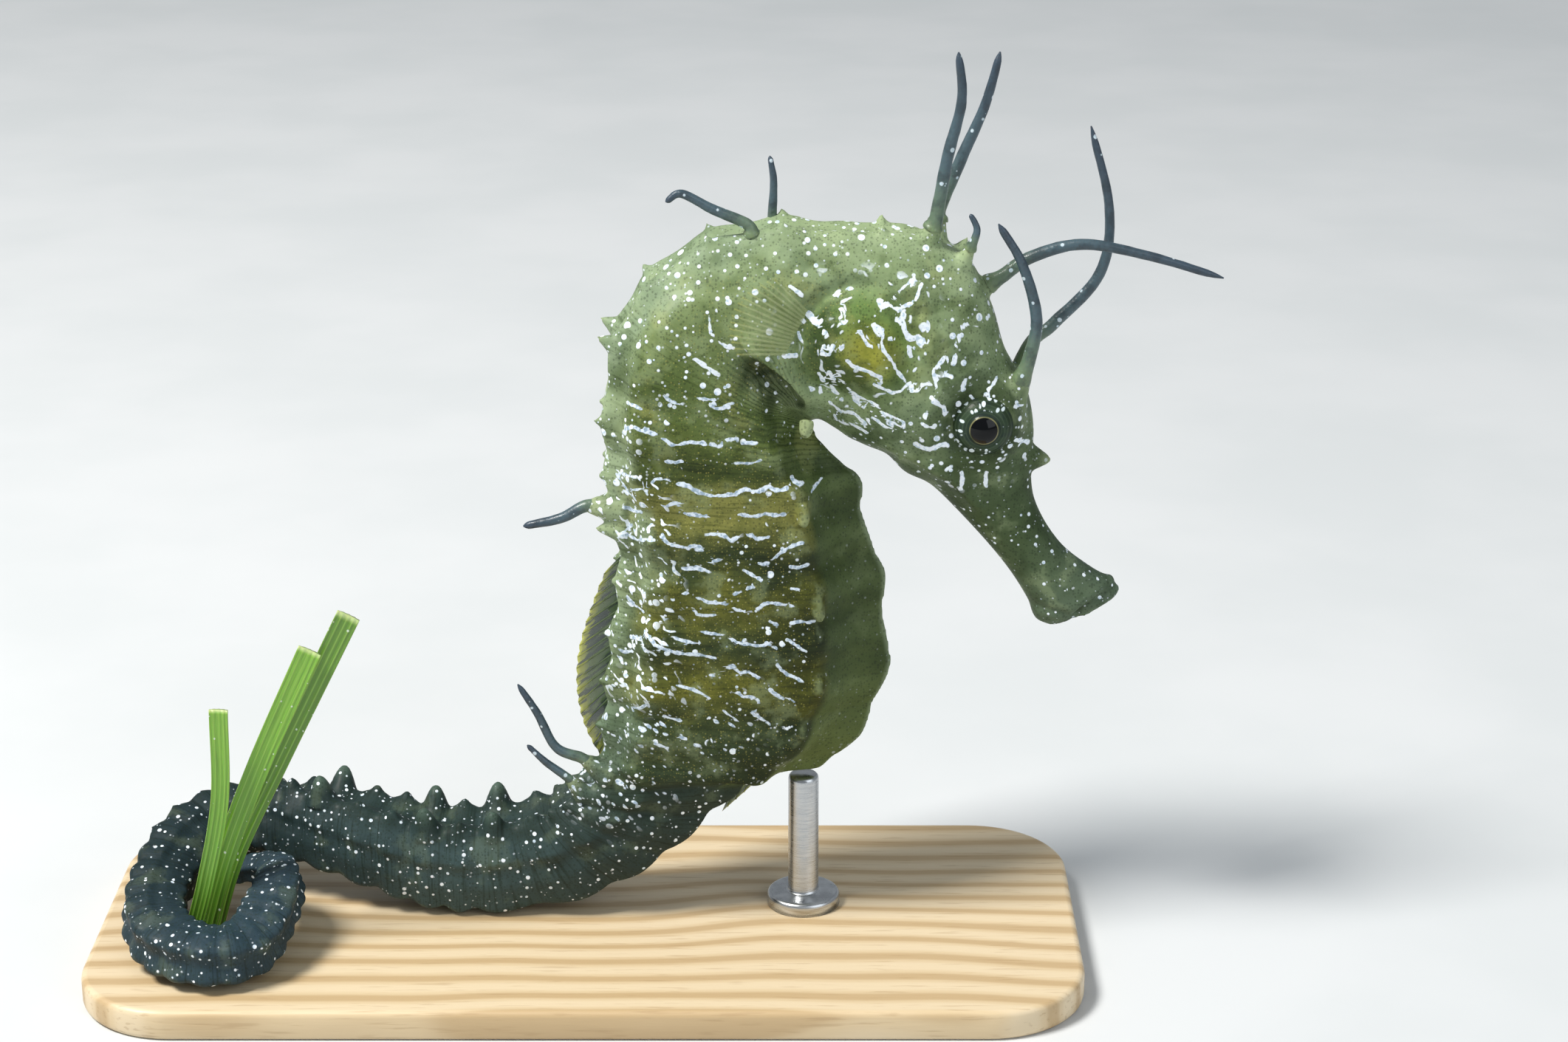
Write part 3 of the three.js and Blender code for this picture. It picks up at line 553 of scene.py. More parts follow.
turn = wire(spine_tree, "FunctionNodeAlignRotationToVector",
            {"Vector": carried(spine_tree, "way", "FLOAT_VECTOR")}, axis="Z")
foot = carried(spine_tree, "foot")
size = wire(spine_tree, "ShaderNodeCombineXYZ", {0: foot, 1: foot, 2: carried(spine_tree, "height")})
finish_tree(spine_tree, wire(spine_tree, "GeometryNodeInstanceOnPoints", {
    "Points": given["Geometry"], "Instance": shaft, "Rotation": turn, "Scale": size}), given["Material"])
print("spine tree nodes:", len(spine_tree.nodes))

# %% Where the spines stand
TALL = {SUPERIOR: {4: 1.6, 7: 1.7, 17: 1.9, 19: 1.9, 22: 2.0, 24: 1.0}, LATERAL: {7: 0.9, 9: 1.0, 11: 0.9},
        INFERIOR: {}}
SPINE_RULES = [(SUPERIOR, range(1, 30), 0.85), (LATERAL, range(5, 13), 0.5),
               (INFERIOR, range(13, 24), 0.35),
               (LATERAL, range(13, 28), 0.35)]
thorns, pegs, knobs = [], [], []
dice = np.random.default_rng(11)
for index, rings, low in SPINE_RULES:
    for ring in rings:
        for side in (-1, 1):
            middle_at, out_at = frames_at(ring)[:2]
            foot_at = corner_point(ring, index, side)
            way = foot_at - middle_at[0]
            way /= np.linalg.norm(way)
            if index == SUPERIOR:
                way = way + 1.2 * out_at[0]
                way /= np.linalg.norm(way)
            tall = TALL[index].get(ring, low) * (0.6 if ring > 24 else 1) * dice.uniform(0.9, 1.1)
            radius = (0.62 + 0.42 * tall) * (0.75 if ring > 24 else 1)
            (pegs if ring > 13 else thorns).append((foot_at - 0.45 * way, way, tall + 0.45, radius))
print("thorns on the ridges:", len(thorns), "and pegs on the tail:", len(pegs))

# %% Soft points of the head and the drooping knobs
HEAD_POINTS = [  # foot, direction, length, foot radius, one for each side
    ((18.2, 0, 38.9), (1, 0, -0.12), 2.9, 2.2, False), ((13.4, 1.2, 55.0), (0.7, 0.3, 1), 1.6, 0.9, True),
    ((9.4, 2.2, 40.4), (-0.4, 0.5, -1), 1.3, 0.8, True), ((7.6, 1.4, 57.0), (-0.1, 0.3, 1), 1.2, 0.8, True),
]
KNOBS = [(6.35, 1.9, 0.6), (8.25, 1.8, 0.6), (9.85, 1.4, 0.55), (10.7, 1.2, 0.5)]    # ring, length, radius
FLAP_KNOB = ((1.8, 43.3), 4.4, 1.5, 0.62)
for foot_at, way, length, radius, pair in HEAD_POINTS:
    for side in ((-1, 1) if pair else (1,)):
        turned = np.array([way[0], side * way[1], way[2]])
        place = np.array([foot_at[0], side * foot_at[1], foot_at[2]])
        thorns.append((place, turned / np.linalg.norm(turned), length, radius))
for side in (-1, 1):
    droop = np.array([0.15, side * 0.4, -1]) / math.hypot(0.15, 0.4, 1)
    for ring, length, radius in KNOBS:
        foot_at = corner_point(ring, INFERIOR, side)
        knobs.append((foot_at + np.array([0, side * 0.1, 0.6]), droop, length, radius))
    (x, z), y, length, radius = FLAP_KNOB
    knobs.append((np.array([x, side * y, z]), droop * (-1, 1, 1), length, radius))


def stood(name, points, taper):
    """Spines grown on a list of (foot, way, length, radius) in millimetres."""
    seed = new_object(name + "_feet", placed([p[0] for p in points]))
    store(seed.data, "way", [p[1] for p in points], "FLOAT_VECTOR")
    store(seed.data, "height", [p[2] * MM for p in points])
    store(seed.data, "foot", [p[3] * MM for p in points])
    return grown(name, seed, spine_tree, Taper=taper)


thorn_mesh, peg_mesh, knob_mesh = stood("thorns", thorns, 1.0), stood("pegs", pegs, 0.7), stood("knobs",
    knobs, 0.0)
print("thorns:", len(thorns), "knobs:", len(knobs))

# %% Skin filaments and the stalks under them
FILAMENTS = {  # x and z along a smooth line, y at its foot and end, foot radius, stalk's root, its radius
    "filament_coronet_right": (((11.7, 58.9), (12.4, 63.2), (13.4, 67.6), (13.1, 71.3)), (-1.3, -1.3), 0.5,
                               (11.0, -1.0, 56.2), 1.15),
    "filament_coronet_left": (((12.1, 58.9), (13.8, 63.0), (15.4, 66.9), (16.4, 70.8)), (1.3, 1.3), 0.5,
                              (11.6, 1.0, 56.2), 1.15),
    "filament_coronet_small": (((14.6, 57.1), (14.7, 57.9), (14.2, 58.9)), (-1.9, -1.6), 0.32,
                               (13.8, -1.4, 55.0), 0.7),
    "filament_crown": (((16.9, 53.6), (19.1, 55.1), (23.0, 56.1), (28.0, 55.2), (34.0, 53.4)), (0, 0), 0.5,
                       (14.4, 0, 52.0), 1.3),
    "filament_brow_right": (((19.0, 47.8), (19.4, 51.0), (18.2, 55.2), (16.3, 58.4)), (-2.3, -2.6), 0.5,
                            (17.4, -1.7, 42.8), 1.5),
    "filament_brow_left": (((19.5, 47.6), (21.2, 49.1), (24.7, 53.2), (25.2, 58.4), (23.6, 64.8)),
                           (2.3, 2.5), 0.5,
                           (17.6, 1.7, 42.8), 1.5),
    "filament_neck_right": (((-2.9, 58.2), (-5.5, 59.4), (-7.8, 60.6), (-9.0, 60.0)), (-1.8, -2.2), 0.42,
                            (-1.9, -1.6, 56.2), 0.8),
    "filament_neck_left": (((-0.9, 58.0), (-0.8, 60.6), (-1.1, 62.6)), (1.8, 2), 0.36, (-0.9, 1.6, 56.2),
                           0.7),
    "filament_back": (((-15.6, 35.6), (-17.6, 34.6), (-20.5, 34.0)), (-2.6, -2.8), 0.5,
                      (-12.6, -2.3, 35.4), 1.7),
    "filament_tail_base_1": (((-16.4, 14.0), (-18.4, 15.0), (-19.8, 18.0), (-21.3, 20.6)), (-2.6, -3), 0.42,
                             (-14.2, -2.3, 12.4), 1.4),
    "filament_tail_base_2": (((-17.6, 12.3), (-19.2, 13.6), (-20.7, 15.2)), (-2.6, -2.8), 0.36,
                             (-16.2, -2.3, 10.6), 1.1),
}
stalks = []
for line, y, radius, root, root_radius in FILAMENTS.values():
    way = np.array([line[0][0], y[0], line[0][1]]) - root
    length = np.linalg.norm(way)
    stalks.append((np.array(root, float), way / length, length + 0.3, root_radius))
stalk_mesh = stood("stalks", stalks, 0.8)
print("stalks:", len(stalks))

# %% [markdown]
# ## One skin
# The sweep, the thorns and the knobs are closed shapes that run into each other. A voxel
# remesh melts them into a single skin with small fillets, as living skin covers the
# bone. Smoothing takes away the steps of the voxels, and a decimation spends the
# remaining triangles where the surface bends.

# %% Melt the shapes together
VOXEL = 0.2 * MM if FINE else 0.36 * MM
bpy.ops.object.select_all(action="DESELECT")
for part in (body_sheet, thorn_mesh, peg_mesh, knob_mesh, stalk_mesh):
    part.select_set(True)
sheet_tree = BVHTree.FromObject(body_sheet, bpy.context.evaluated_depsgraph_get())
bpy.context.view_layer.objects.active = body_sheet
bpy.ops.object.join()
melt = body_sheet.modifiers.new("melt", "REMESH")
melt.mode, melt.voxel_size, melt.use_smooth_shade = "VOXEL", VOXEL, True
calm = body_sheet.modifiers.new("calm", "SMOOTH")
calm.factor, calm.iterations = 0.5, 3
skin = baked(body_sheet, "skin")
print("melted:", triangles(skin), "triangles")

# %% Spend the triangles well
MOST_TRIANGLES = 185_000 if FINE else 90_000
thin = skin.modifiers.new("thin", "DECIMATE")
thin.ratio = min(1.0, MOST_TRIANGLES / triangles(skin))
skin = baked(skin, "skin")
skin.data.polygons.foreach_set("use_smooth", [True] * len(skin.data.polygons))
print("skin:", triangles(skin), "triangles")

# %% [markdown]
# The marks on the skin follow the rings, so the skin has to know where it is on the
# body. Each of its points looks for the nearest place on the sweep and takes over that
# place's ring number, its way round the body, its depth from back to belly, and how much
# painted shade it takes in a fold or crease. The distance itself tells how far out on a spine a point is.

# %% Let the skin know where it is
FIELDS = ("ring", "around", "depth", "shade")
grid_fields = np.stack([ring_grid, around, u, shade], axis=2).reshape(-1, len(FIELDS))
nearest = np.empty((len(skin.data.vertices), len(FIELDS)))
standing_out = np.empty(len(nearest))
corner_ids = faces.reshape(-1, 4)
for k, place in enumerate(skin.data.vertices):
    found, _, face, distance = sheet_tree.find_nearest(place.co)
    spot = np.array(found)
    ids = corner_ids[min(face, len(corner_ids) - 1)]
    a, b, _, d = body_points[ids]
    down, across = b - a, d - a
    s = np.clip((spot - a) @ down / max(down @ down, 1e-16), 0, 1)
    t = np.clip((spot - a) @ across / max(across @ across, 1e-16), 0, 1)
    fa, fb, fc, fd = grid_fields[ids]
    nearest[k] = (fa * (1 - s) + fb * s) * (1 - t) + (fd * (1 - s) + fc * s) * t
    standing_out[k] = distance * 1000
for k, name in enumerate(FIELDS):
    store(skin.data, name, nearest[:, k])
store(skin.data, "spine", standing_out)
print("skin knows its rings from", nearest[:, 0].min().round(1), "to", nearest[:, 0].max().round(1))

# %% [markdown]
# ## Where the bold marks lie
# Each long-snouted seahorse has white marks of its own: bars and hooks on the gill cover,
# short slanted strokes behind it, and wavy lines along the rings of the flank. A random
# pattern would never give this one's, so each one is a bent line of its own, placed
# in the camera's frame. A ray from the camera through each place finds the skin, and
# gives the place in side view. The far side mirrors the marks, as a real one doesn't.
# Each point of the skin keeps the nearest spot on a mark and that mark's half width, so a
# shader can draw its edge sharply, whatever the mesh is like.

# %% Tables of the bold marks
FRAME_POINTS = (2123, 1411)              # the camera's frame, across and down
POINTS_TO_MM = 16.6                      # at the body
SOFT_EDGE = 0.5                          # how many points each side of a mark gains
HEAD_STROKES = [  # half width, then places across and down the frame, in its points
    (1.9, (1193, 462), (1197, 476), (1208, 490), (1215, 503), (1226, 516), (1236, 519), (1248, 522),
     (1256, 520)),
    (2.7, (1147, 489), (1155, 496), (1168, 500), (1180, 506), (1193, 512)),
    (2.2, (1184, 521), (1195, 526), (1208, 532), (1220, 530), (1230, 519)),
    (2.7, (1164, 449), (1168, 456), (1174, 466), (1181, 471)), (4, (1183, 440), (1187, 447)),
    (2.2, (1195, 447), (1196, 455)), (4, (1191, 408), (1195, 415)),
    (1.9, (1201, 410), (1208, 416), (1214, 419), (1222, 416), (1233, 411)),
    (3, (1215, 434), (1224, 430), (1223, 424)),
    (3.3, (1223, 441), (1226, 452), (1232, 460), (1243, 457), (1255, 463)),
    (3.2, (1243, 456), (1247, 470)), (3, (1231, 474), (1233, 482)),
    (2, (1240, 406), (1244, 395), (1248, 385)), (1.8, (1211, 402), (1216, 396), (1226, 387), (1238, 376)),
    (1.8, (1130, 400), (1137, 394)), (1.3, (1140, 409), (1152, 403)), (2.2, (1137, 420), (1140, 419)),
    (2.3, (1138, 430), (1143, 424)), (2, (1141, 439), (1146, 435)), (4.2, (1095, 425), (1103, 436)),
    (2.8, (1108, 439), (1112, 434)), (2.5, (1115, 452), (1116, 449)), (2.6, (1112, 480), (1115, 469)),
    (2.4, (1123, 480), (1128, 469)), (2, (1139, 473), (1143, 467)), (2.8, (1109, 506), (1115, 516)),
    (2.4, (1122, 504), (1129, 514)), (2, (1136, 507), (1142, 517)), (2, (1110, 524), (1112, 531)),
    (2.8, (1125, 522), (1129, 528), (1134, 533)), (2, (1123, 544), (1130, 550), (1139, 558)),
    (2, (1147, 525), (1152, 530), (1160, 536), (1170, 540)), (1.7, (1152, 530), (1158, 543), (1169, 552)),
    (1.4, (1172, 541), (1190, 550)), (2.6, (1148, 558), (1158, 561), (1165, 568), (1173, 575)),
    (2, (1130, 562), (1133, 569)), (1.8, (1140, 572), (1147, 575)),
    (2, (1151, 573), (1160, 578), (1173, 585)), (2.2, (1180, 565), (1189, 571), (1197, 577)),
    (1.8, (1195, 560), (1205, 563), (1215, 567), (1224, 572), (1224, 580)),
    (1.3, (1205, 566), (1208, 580)), (3, (1261, 539), (1268, 546), (1277, 552), (1280, 561)),
    (2.4, (1248, 573), (1255, 578), (1265, 579)),
    (3.4, (1239, 601), (1248, 606), (1260, 609), (1270, 604), (1280, 602)),
    (2.4, (1264, 502), (1266, 512), (1267, 522)), (2.4, (1267, 512), (1278, 507), (1288, 510)),
    (3.4, (1273, 492), (1278, 484)), (3, (1294, 480), (1291, 492)), (2.6, (1303, 528), (1307, 515)),
    (1.6, (1231, 529), (1245, 530)), (2, (1301, 445), (1303, 441), (1312, 438), (1323, 440)),
    (3.3, (1296, 463), (1300, 455)), (2.2, (1339, 527), (1345, 520), (1349, 512)),
    (1.5, (1339, 532), (1340, 545), (1343, 556)), (1.7, (1314, 536), (1321, 544), (1323, 552)),
    (1.7, (1374, 551), (1384, 547)), (2.8, (1376, 596), (1392, 599)),
    (3, (1302, 640), (1303, 652), (1300, 662)), (2.4, (1335, 640), (1334, 660)),
    (2.3, (1280, 637), (1288, 631)), (2.6, (1070, 388), (1080, 395), (1086, 401)),
    (2.8, (1062, 482), (1078, 481)), (1.8, (1080, 450), (1087, 465)),
    (1.8, (972, 462), (982, 470), (993, 472)), (1.4, (960, 430), (962, 452)),
]
FLANK_STROKES = [
    (3, (941, 486), (950, 494), (962, 500), (973, 508)),
    (1.7, (897, 533), (903, 541), (918, 548), (930, 546), (938, 541), (950, 540), (968, 542)),
    (2.2, (962, 548), (967, 553), (978, 554), (985, 549), (993, 546)),
    (2.3, (851, 546), (858, 549), (868, 554)),
    (2.2, (845, 587), (849, 580), (857, 577), (866, 582), (876, 584), (886, 588)),
    (2.2, (898, 593), (905, 599), (913, 604)),
    (2.1, (917, 595), (923, 602), (932, 599), (940, 597), (948, 598), (957, 603), (966, 602), (972, 606),
     (980, 602), (983, 596), (990, 595), (998, 594)),
    (2.4, (1006, 600), (1015, 600), (1024, 600)), (2.2, (901, 625), (912, 626), (927, 625)),
    (1.7, (992, 627), (1003, 627), (1015, 628), (1030, 624)),
    (1.6, (882, 654), (888, 649), (896, 648), (905, 650)),
    (2.8, (918, 656), (930, 656), (940, 664), (952, 669), (962, 671), (970, 677)),
    (2.4, (975, 673), (985, 669), (997, 669), (1003, 664), (1015, 662), (1024, 668), (1033, 663),
     (1038, 658), (1043, 660), (1053, 666), (1066, 660)),
    (1.8, (1072, 645), (1074, 652), (1082, 656), (1088, 655)), (2, (1100, 664), (1106, 656), (1112, 648)),
    (2.4, (928, 695), (934, 696), (945, 698), (958, 700)), (2, (904, 685), (910, 682), (925, 681)),
    (2.4, (1000, 696), (1010, 698), (1023, 700), (1036, 695), (1050, 698), (1062, 697)),
    (2.2, (955, 724), (966, 723), (979, 722), (985, 728), (992, 734), (1001, 726), (1008, 724),
     (1017, 724), (1024, 731), (1032, 730), (1040, 727)),
    (2, (1028, 763), (1036, 765), (1046, 757), (1058, 748), (1070, 740), (1086, 735)),
    (2, (965, 760), (978, 758), (987, 751)),
    (2, (897, 724), (901, 733), (908, 739), (922, 739), (934, 744), (938, 736)),
    (2.4, (945, 737), (951, 746)), (2, (1070, 767), (1082, 768), (1094, 764)),
    (2.4, (1006, 771), (1014, 776), (1022, 781)), (2.6, (922, 768), (933, 773)),
    (2, (941, 766), (950, 770), (962, 775)), (1.6, (835, 642), (844, 656), (852, 668), (859, 675)),
    (1.5, (841, 640), (850, 644), (862, 646), (870, 650), (872, 662), (877, 670)),
    (2, (845, 684), (856, 691), (868, 693)), (1.5, (855, 663), (868, 662), (876, 664)),
    (2, (841, 720), (850, 716), (858, 710)), (1.8, (852, 726), (862, 731), (874, 730), (886, 731)),
    (2.1, (943, 803), (948, 812), (960, 816), (970, 817), (984, 817), (992, 824), (1005, 828),
     (1018, 828), (1028, 824), (1034, 818), (1046, 816), (1060, 819), (1074, 821)),
    (1.9, (937, 824), (943, 832), (955, 834), (972, 832)), (2, (1012, 796), (1022, 795), (1032, 785)),
    (1.8, (1071, 797), (1085, 799)), (2, (950, 856), (962, 858), (974, 860)),
    (2, (984, 861), (992, 866), (1000, 872), (1015, 873)),
    (1.9, (1022, 875), (1032, 874), (1042, 872), (1052, 879)),
    (1.5, (908, 861), (920, 866), (932, 870), (944, 871)),
    (1.9, (1064, 865), (1074, 871), (1084, 878), (1092, 883)),
    (2, (1072, 844), (1082, 841), (1094, 843), (1103, 841)), (2.4, (1043, 842), (1052, 846)),
    (2.6, (873, 856), (880, 864), (888, 873)),
    (2.2, (888, 873), (898, 879), (912, 883), (925, 886), (942, 885), (955, 888), (966, 891)),
    (2.6, (990, 900), (997, 906), (1003, 912)), (2.2, (1014, 910), (1020, 914), (1028, 918)),
    (2.2, (1053, 900), (1058, 908), (1068, 914), (1078, 919), (1088, 923)),
    (1.7, (960, 914), (972, 917), (983, 920), (987, 930), (989, 936)),
    (2.1, (917, 928), (928, 931), (942, 935), (952, 940), (964, 949)),
    (2, (999, 938), (1006, 944), (1018, 944), (1027, 948), (1028, 956)),
    (2.4, (1042, 933), (1050, 940), (1060, 947)), (1.8, (1068, 945), (1075, 950)),
    (1.5, (976, 960), (985, 967), (994, 972), (1000, 980)),
    (1.8, (1017, 965), (1026, 971), (1036, 976), (1043, 981)), (1.8, (899, 970), (908, 973), (921, 976)),
    (1.7, (886, 1007), (895, 1010), (905, 1014)), (2, (872, 980), (880, 985)),
    (2.2, (921, 998), (929, 1001)), (2, (902, 997), (907, 1001)),
    (2, (847, 804), (852, 813), (860, 820), (870, 827)), (2.6, (855, 863), (868, 866)),
    (2, (838, 878), (845, 884), (855, 882)), (1.6, (871, 877), (880, 882), (888, 887)),
    (1.8, (858, 958), (866, 960), (874, 955)), (2.4, (924, 802), (934, 804)),
    (2.2, (996, 804), (1004, 801)),
]
print("bold marks:", len(HEAD_STROKES), "on the head and neck,", len(FLANK_STROKES), "on the flank")


# %% From the camera's frame to the side view
def side_place(across, down):
    """Side-view x and z, in millimetres, of the skin seen at one point of the camera's frame."""
    reach = FRAME_POINTS[0] / 2 / math.tan(HALF_VIEW)
    aim = Vector((across - FRAME_POINTS[0] / 2, FRAME_POINTS[1] / 2 - down, -reach)).normalized()
    aim.rotate(view_camera.rotation_euler)
    spot = sheet_tree.ray_cast(CAMERA_PLACE, aim)[0]
    return None if spot is None else np.array([spot.x / MM - PLACE[0], spot.z / MM - PLACE[2]])


print("the first mark starts at", side_place(*HEAD_STROKES[0][1]).round(1), "mm in side view")

# %% Lay the bold marks on the skin
side_view = np.array([(point.co / MM)[:] for point in skin.data.vertices])[:,
    ::2] - np.array([PLACE[0], PLACE[2]])
mark_gap = np.full(len(side_view), 9.0)
mark_near = np.zeros((len(side_view), 3))
missed = 0
for half_points, *places in HEAD_STROKES + FLANK_STROKES:
    half_width = (half_points + SOFT_EDGE) / POINTS_TO_MM
    line = [spot for spot in (side_place(*place) for place in places) if spot is not None]
    missed += len(places) - len(line)
    for start, stop in zip(line[:-1], line[1:]):
        run = np.subtract(stop, start)
        t = np.clip((side_view - start) @ run / (run @ run), 0, 1)
        spot = start + t[:, None] * run
        gap = np.linalg.norm(side_view - spot, axis=1) - half_width
        closer = gap < mark_gap
        mark_gap[closer] = gap[closer]
        mark_near[closer] = np.column_stack([spot, np.full(len(spot), half_width)])[closer]
store(skin.data, "mark_gap", mark_gap)
store(skin.data, "mark_near", mark_near, "FLOAT_VECTOR")
print("points on a bold mark:", int((mark_gap < 0).sum()), "and places off the skin:", missed)

# %% [markdown]
# ## Filaments and fin rays
# Filaments are thin flaps of skin on the crown, the brow and the back. Fin rays are
# stiff threads. Both are tapering threads along a line, so one geometry tree draws
# them all: it turns lines into curves, sweeps a circle along them at the thickness that
# each point carries, and roughens the result a little.

# %% The tree that draws threads
thread_tree, given = geometry_tree("threads", {"Sides": 10, "Roughness": 0.0, "Grain": 900.0})
curve = wire(thread_tree, "GeometryNodeMeshToCurve", {"Mesh": given["Geometry"]})
thick = carried(thread_tree, "thick")
ring_profile = wire(thread_tree, "GeometryNodeCurvePrimitiveCircle",
                    {"Resolution": given["Sides"], "Radius": 1.0})
tube = wire(thread_tree, "GeometryNodeCurveToMesh",
            {"Curve": curve, "Profile Curve": ring_profile, "Scale": thick, "Fill Caps": True})
ripple = wire(thread_tree, "ShaderNodeTexNoise", {"Scale": given["Grain"], "Detail": 2.0})
ripple = calc(thread_tree, "MULTIPLY", calc(thread_tree, "SUBTRACT", ripple, 0.5), given["Roughness"])
shift = wire(thread_tree, "ShaderNodeVectorMath",
             {0: wire(thread_tree, "GeometryNodeInputNormal"), "Scale": ripple}, operation="SCALE")
tube = wire(thread_tree, "GeometryNodeSetPosition", {"Geometry": tube, "Offset": shift})
finish_tree(thread_tree, tube, given["Material"])


def smooth_line(points, count):
    """A smooth line through points, with count points."""
    points = np.asarray(points, float)
    padded = np.vstack([2 * points[0] - points[1], points, 2 * points[-1] - points[-2]])
    line = []
    for where in np.linspace(0, len(points) - 1, count):
        k = min(int(where), len(points) - 2)
        t = where - k
        p = padded[k:k + 4]
        line.append(0.5 * (2 * p[1] + (p[2] - p[0]) * t + (2 * p[0] - 5 * p[1] + 4 * p[2] - p[3]) * t**2
                           + (3 * p[1] - p[0] - 3 * p[2] + p[3]) * t**3))
    return np.array(line)


def threads(name, lines, radii, material, sides=10, roughness=0.0):
    """Threads along lines in millimetres; radii gives each line's radius at every point."""
    points = np.vstack(lines)
    starts = np.cumsum([0] + [len(line) for line in lines])
    edges = [(k, k + 1) for a, b in zip(starts[:-1], starts[1:]) for k in range(a, b - 1)]
    seed = new_object(name + "_lines", placed(points), edges=edges)
    store(seed.data, "thick", np.concatenate(radii) * MM)
    store(seed.data, "level", np.concatenate([np.linspace(0, 1, len(line)) for line in lines]))
    return grown(name, seed, thread_tree, material, Sides=sides, Roughness=roughness * MM)


# %% [markdown]
# ## Materials
# Each finish is built from nodes. Two effects serve more than one material, so they are
# groups: specks, which are round crisp dots of random size, and grain, a fine unevenness
# that feeds a Bump node.

# %% Helpers for materials
def shader_group(name, inputs, outputs):
    """An empty shader group; inputs and outputs map names to default values."""
    tree = bpy.data.node_groups.new(name, "ShaderNodeTree")
    for way, sockets in (("INPUT", inputs), ("OUTPUT", outputs)):
        for label, value in sockets.items():
            kind = "NodeSocketVector" if isinstance(value, tuple) else "NodeSocketFloat"
            tree.interface.new_socket(label, in_out=way, socket_type=kind).default_value = value
    return tree, tree.nodes.new("NodeGroupInput").outputs, tree.nodes.new("NodeGroupOutput").inputs


def placed_group(tree, group, inputs=(), out=0):
    node = tree.nodes.new("ShaderNodeGroup")
    node.node_tree = group
    for key, value in dict(inputs).items():
        if isinstance(value, bpy.types.NodeSocket):
            tree.links.new(value, node.inputs[key])
        else:
            node.inputs[key].default_value = value
    return node.outputs[out]


def new_material(name, **constants):
    """A material and its Principled shader; constants go straight to the shader's sockets."""
    material = bpy.data.materials.new(name)
    material.use_nodes = True
    shader = material.node_tree.nodes["Principled BSDF"]
    for key, value in constants.items():
        shader.inputs[key.replace("_", " ")].default_value = value
    return material, material.node_tree, shader


def between(tree, value, low, high, to_low=0.0, to_high=1.0):
    """A smooth step: to_low where value is at low, to_high where it is at high."""
    return wire(tree, "ShaderNodeMapRange", {0: value, 1: low, 2: high, 3: to_low, 4: to_high},
                interpolation_type="SMOOTHSTEP")


def blend(tree, factor, a, b, way="MIX"):
    """Mixes two colours by a factor."""
    return wire(tree, "ShaderNodeMix", {0: factor, 6: a, 7: b}, out=2, data_type="RGBA", blend_type=way,
                clamp_factor=True)


def paint(red, green, blue):
    """A colour as seen, 0 to 255, as the linear colour that nodes take."""
    linear = [c / 255 / 12.92 if c <= 10 else ((c / 255 + 0.055) / 1.055) ** 2.4 for c in (red, green,
        blue)]
    return (*linear, 1)


def ramp(tree, value, stops, low=0.0, high=1.0):
    """Colours at positions between low and high, blended smoothly."""
    node = tree.nodes.new("ShaderNodeValToRGB")
    bar = node.color_ramp
    bar.interpolation = "EASE"
    while len(bar.elements) > 1:
        bar.elements.remove(bar.elements[-1])
    for k, (place, colour) in enumerate(stops):
        position = (place - low) / (high - low)
        element = bar.elements[0] if k == 0 else bar.elements.new(position)
        element.position, element.color = position, colour
    tree.links.new(wire(tree, "ShaderNodeMapRange", {0: value, 1: low, 2: high}), node.inputs[0])
    return node.outputs[0]


def attribute(tree, name):
    return wire(tree, "ShaderNodeAttribute", out=2, attribute_name=name)


def millimetres(tree):
    """Object coordinates in millimetres."""
    coordinates = wire(tree, "ShaderNodeTexCoord", out=3)
    return vector(tree, "SCALE", coordinates, 1000.0)


def noise(tree, place, scale, detail=2.0, out=0):
    return wire(tree, "ShaderNodeTexNoise", {"Vector": place, "Scale": scale, "Detail": detail}, out)


# %% The specks group
specks, given, gives = shader_group("specks",
                                    {"Place": (0.0, 0.0, 0.0), "Spacing": 1.2, "Radius": 0.25,
                                     "Edge": 0.05},
                                    {"Mask": 0.0})
cell = vector(specks, "SCALE", given["Place"], calc(specks, "DIVIDE", 1.0, given["Spacing"]))
dots = specks.nodes.new("ShaderNodeTexVoronoi")
specks.links.new(cell, dots.inputs["Vector"])
dots.inputs["Scale"].default_value = 1.0
far = calc(specks, "MULTIPLY", dots.outputs["Distance"], given["Spacing"])
luck = wire(specks, "ShaderNodeSeparateColor", {0: dots.outputs["Color"]})
reach = calc(specks, "MULTIPLY", given["Radius"], calc(specks, "MULTIPLY_ADD", luck, 1.55, -0.15))
specks.links.new(calc(specks, "MULTIPLY", between(specks, reach, 0.01, 0.035),
                         between(specks, calc(specks, "SUBTRACT", far, reach), given["Edge"],
                                 calc(specks, "MULTIPLY", given["Edge"], -0.5))), gives["Mask"])


def sprinkled(tree, place, spacing, radius, edge):
    """A mask of round specks of chance sizes, with all its lengths in millimetres."""
    return placed_group(tree, specks, {"Place": place, "Spacing": spacing, "Radius": radius, "Edge": edge})


print("specks nodes:", len(specks.nodes))

# %% The grain group
grain, given, gives = shader_group("grain", {"Place": (0.0, 0.0, 0.0), "Size": 0.4, "Pits": 0.3},
                                   {"Height": 0.0})
per_size = calc(grain, "DIVIDE", 1.0, given["Size"])
soft = noise(grain, given["Place"], per_size, 3.0)
pits = wire(grain, "ShaderNodeTexVoronoi",
            {"Vector": given["Place"], "Scale": calc(grain, "MULTIPLY", per_size, 1.7)})
grain.links.new(calc(grain, "MULTIPLY_ADD", pits, given["Pits"], soft), gives["Height"])

# %% [markdown]
# ### The skin
# The skin is olive green and a little clear, with paler back and ridges, and dark and
# golden bands across the flank. The tail is slate blue. All the bands follow the rings,
# so two colour ramps over the ring number give the back's and the flank's colours, and
# the depth from back to belly mixes them. Painting by hand would give the same look, but
# a ramp can be changed with one number.

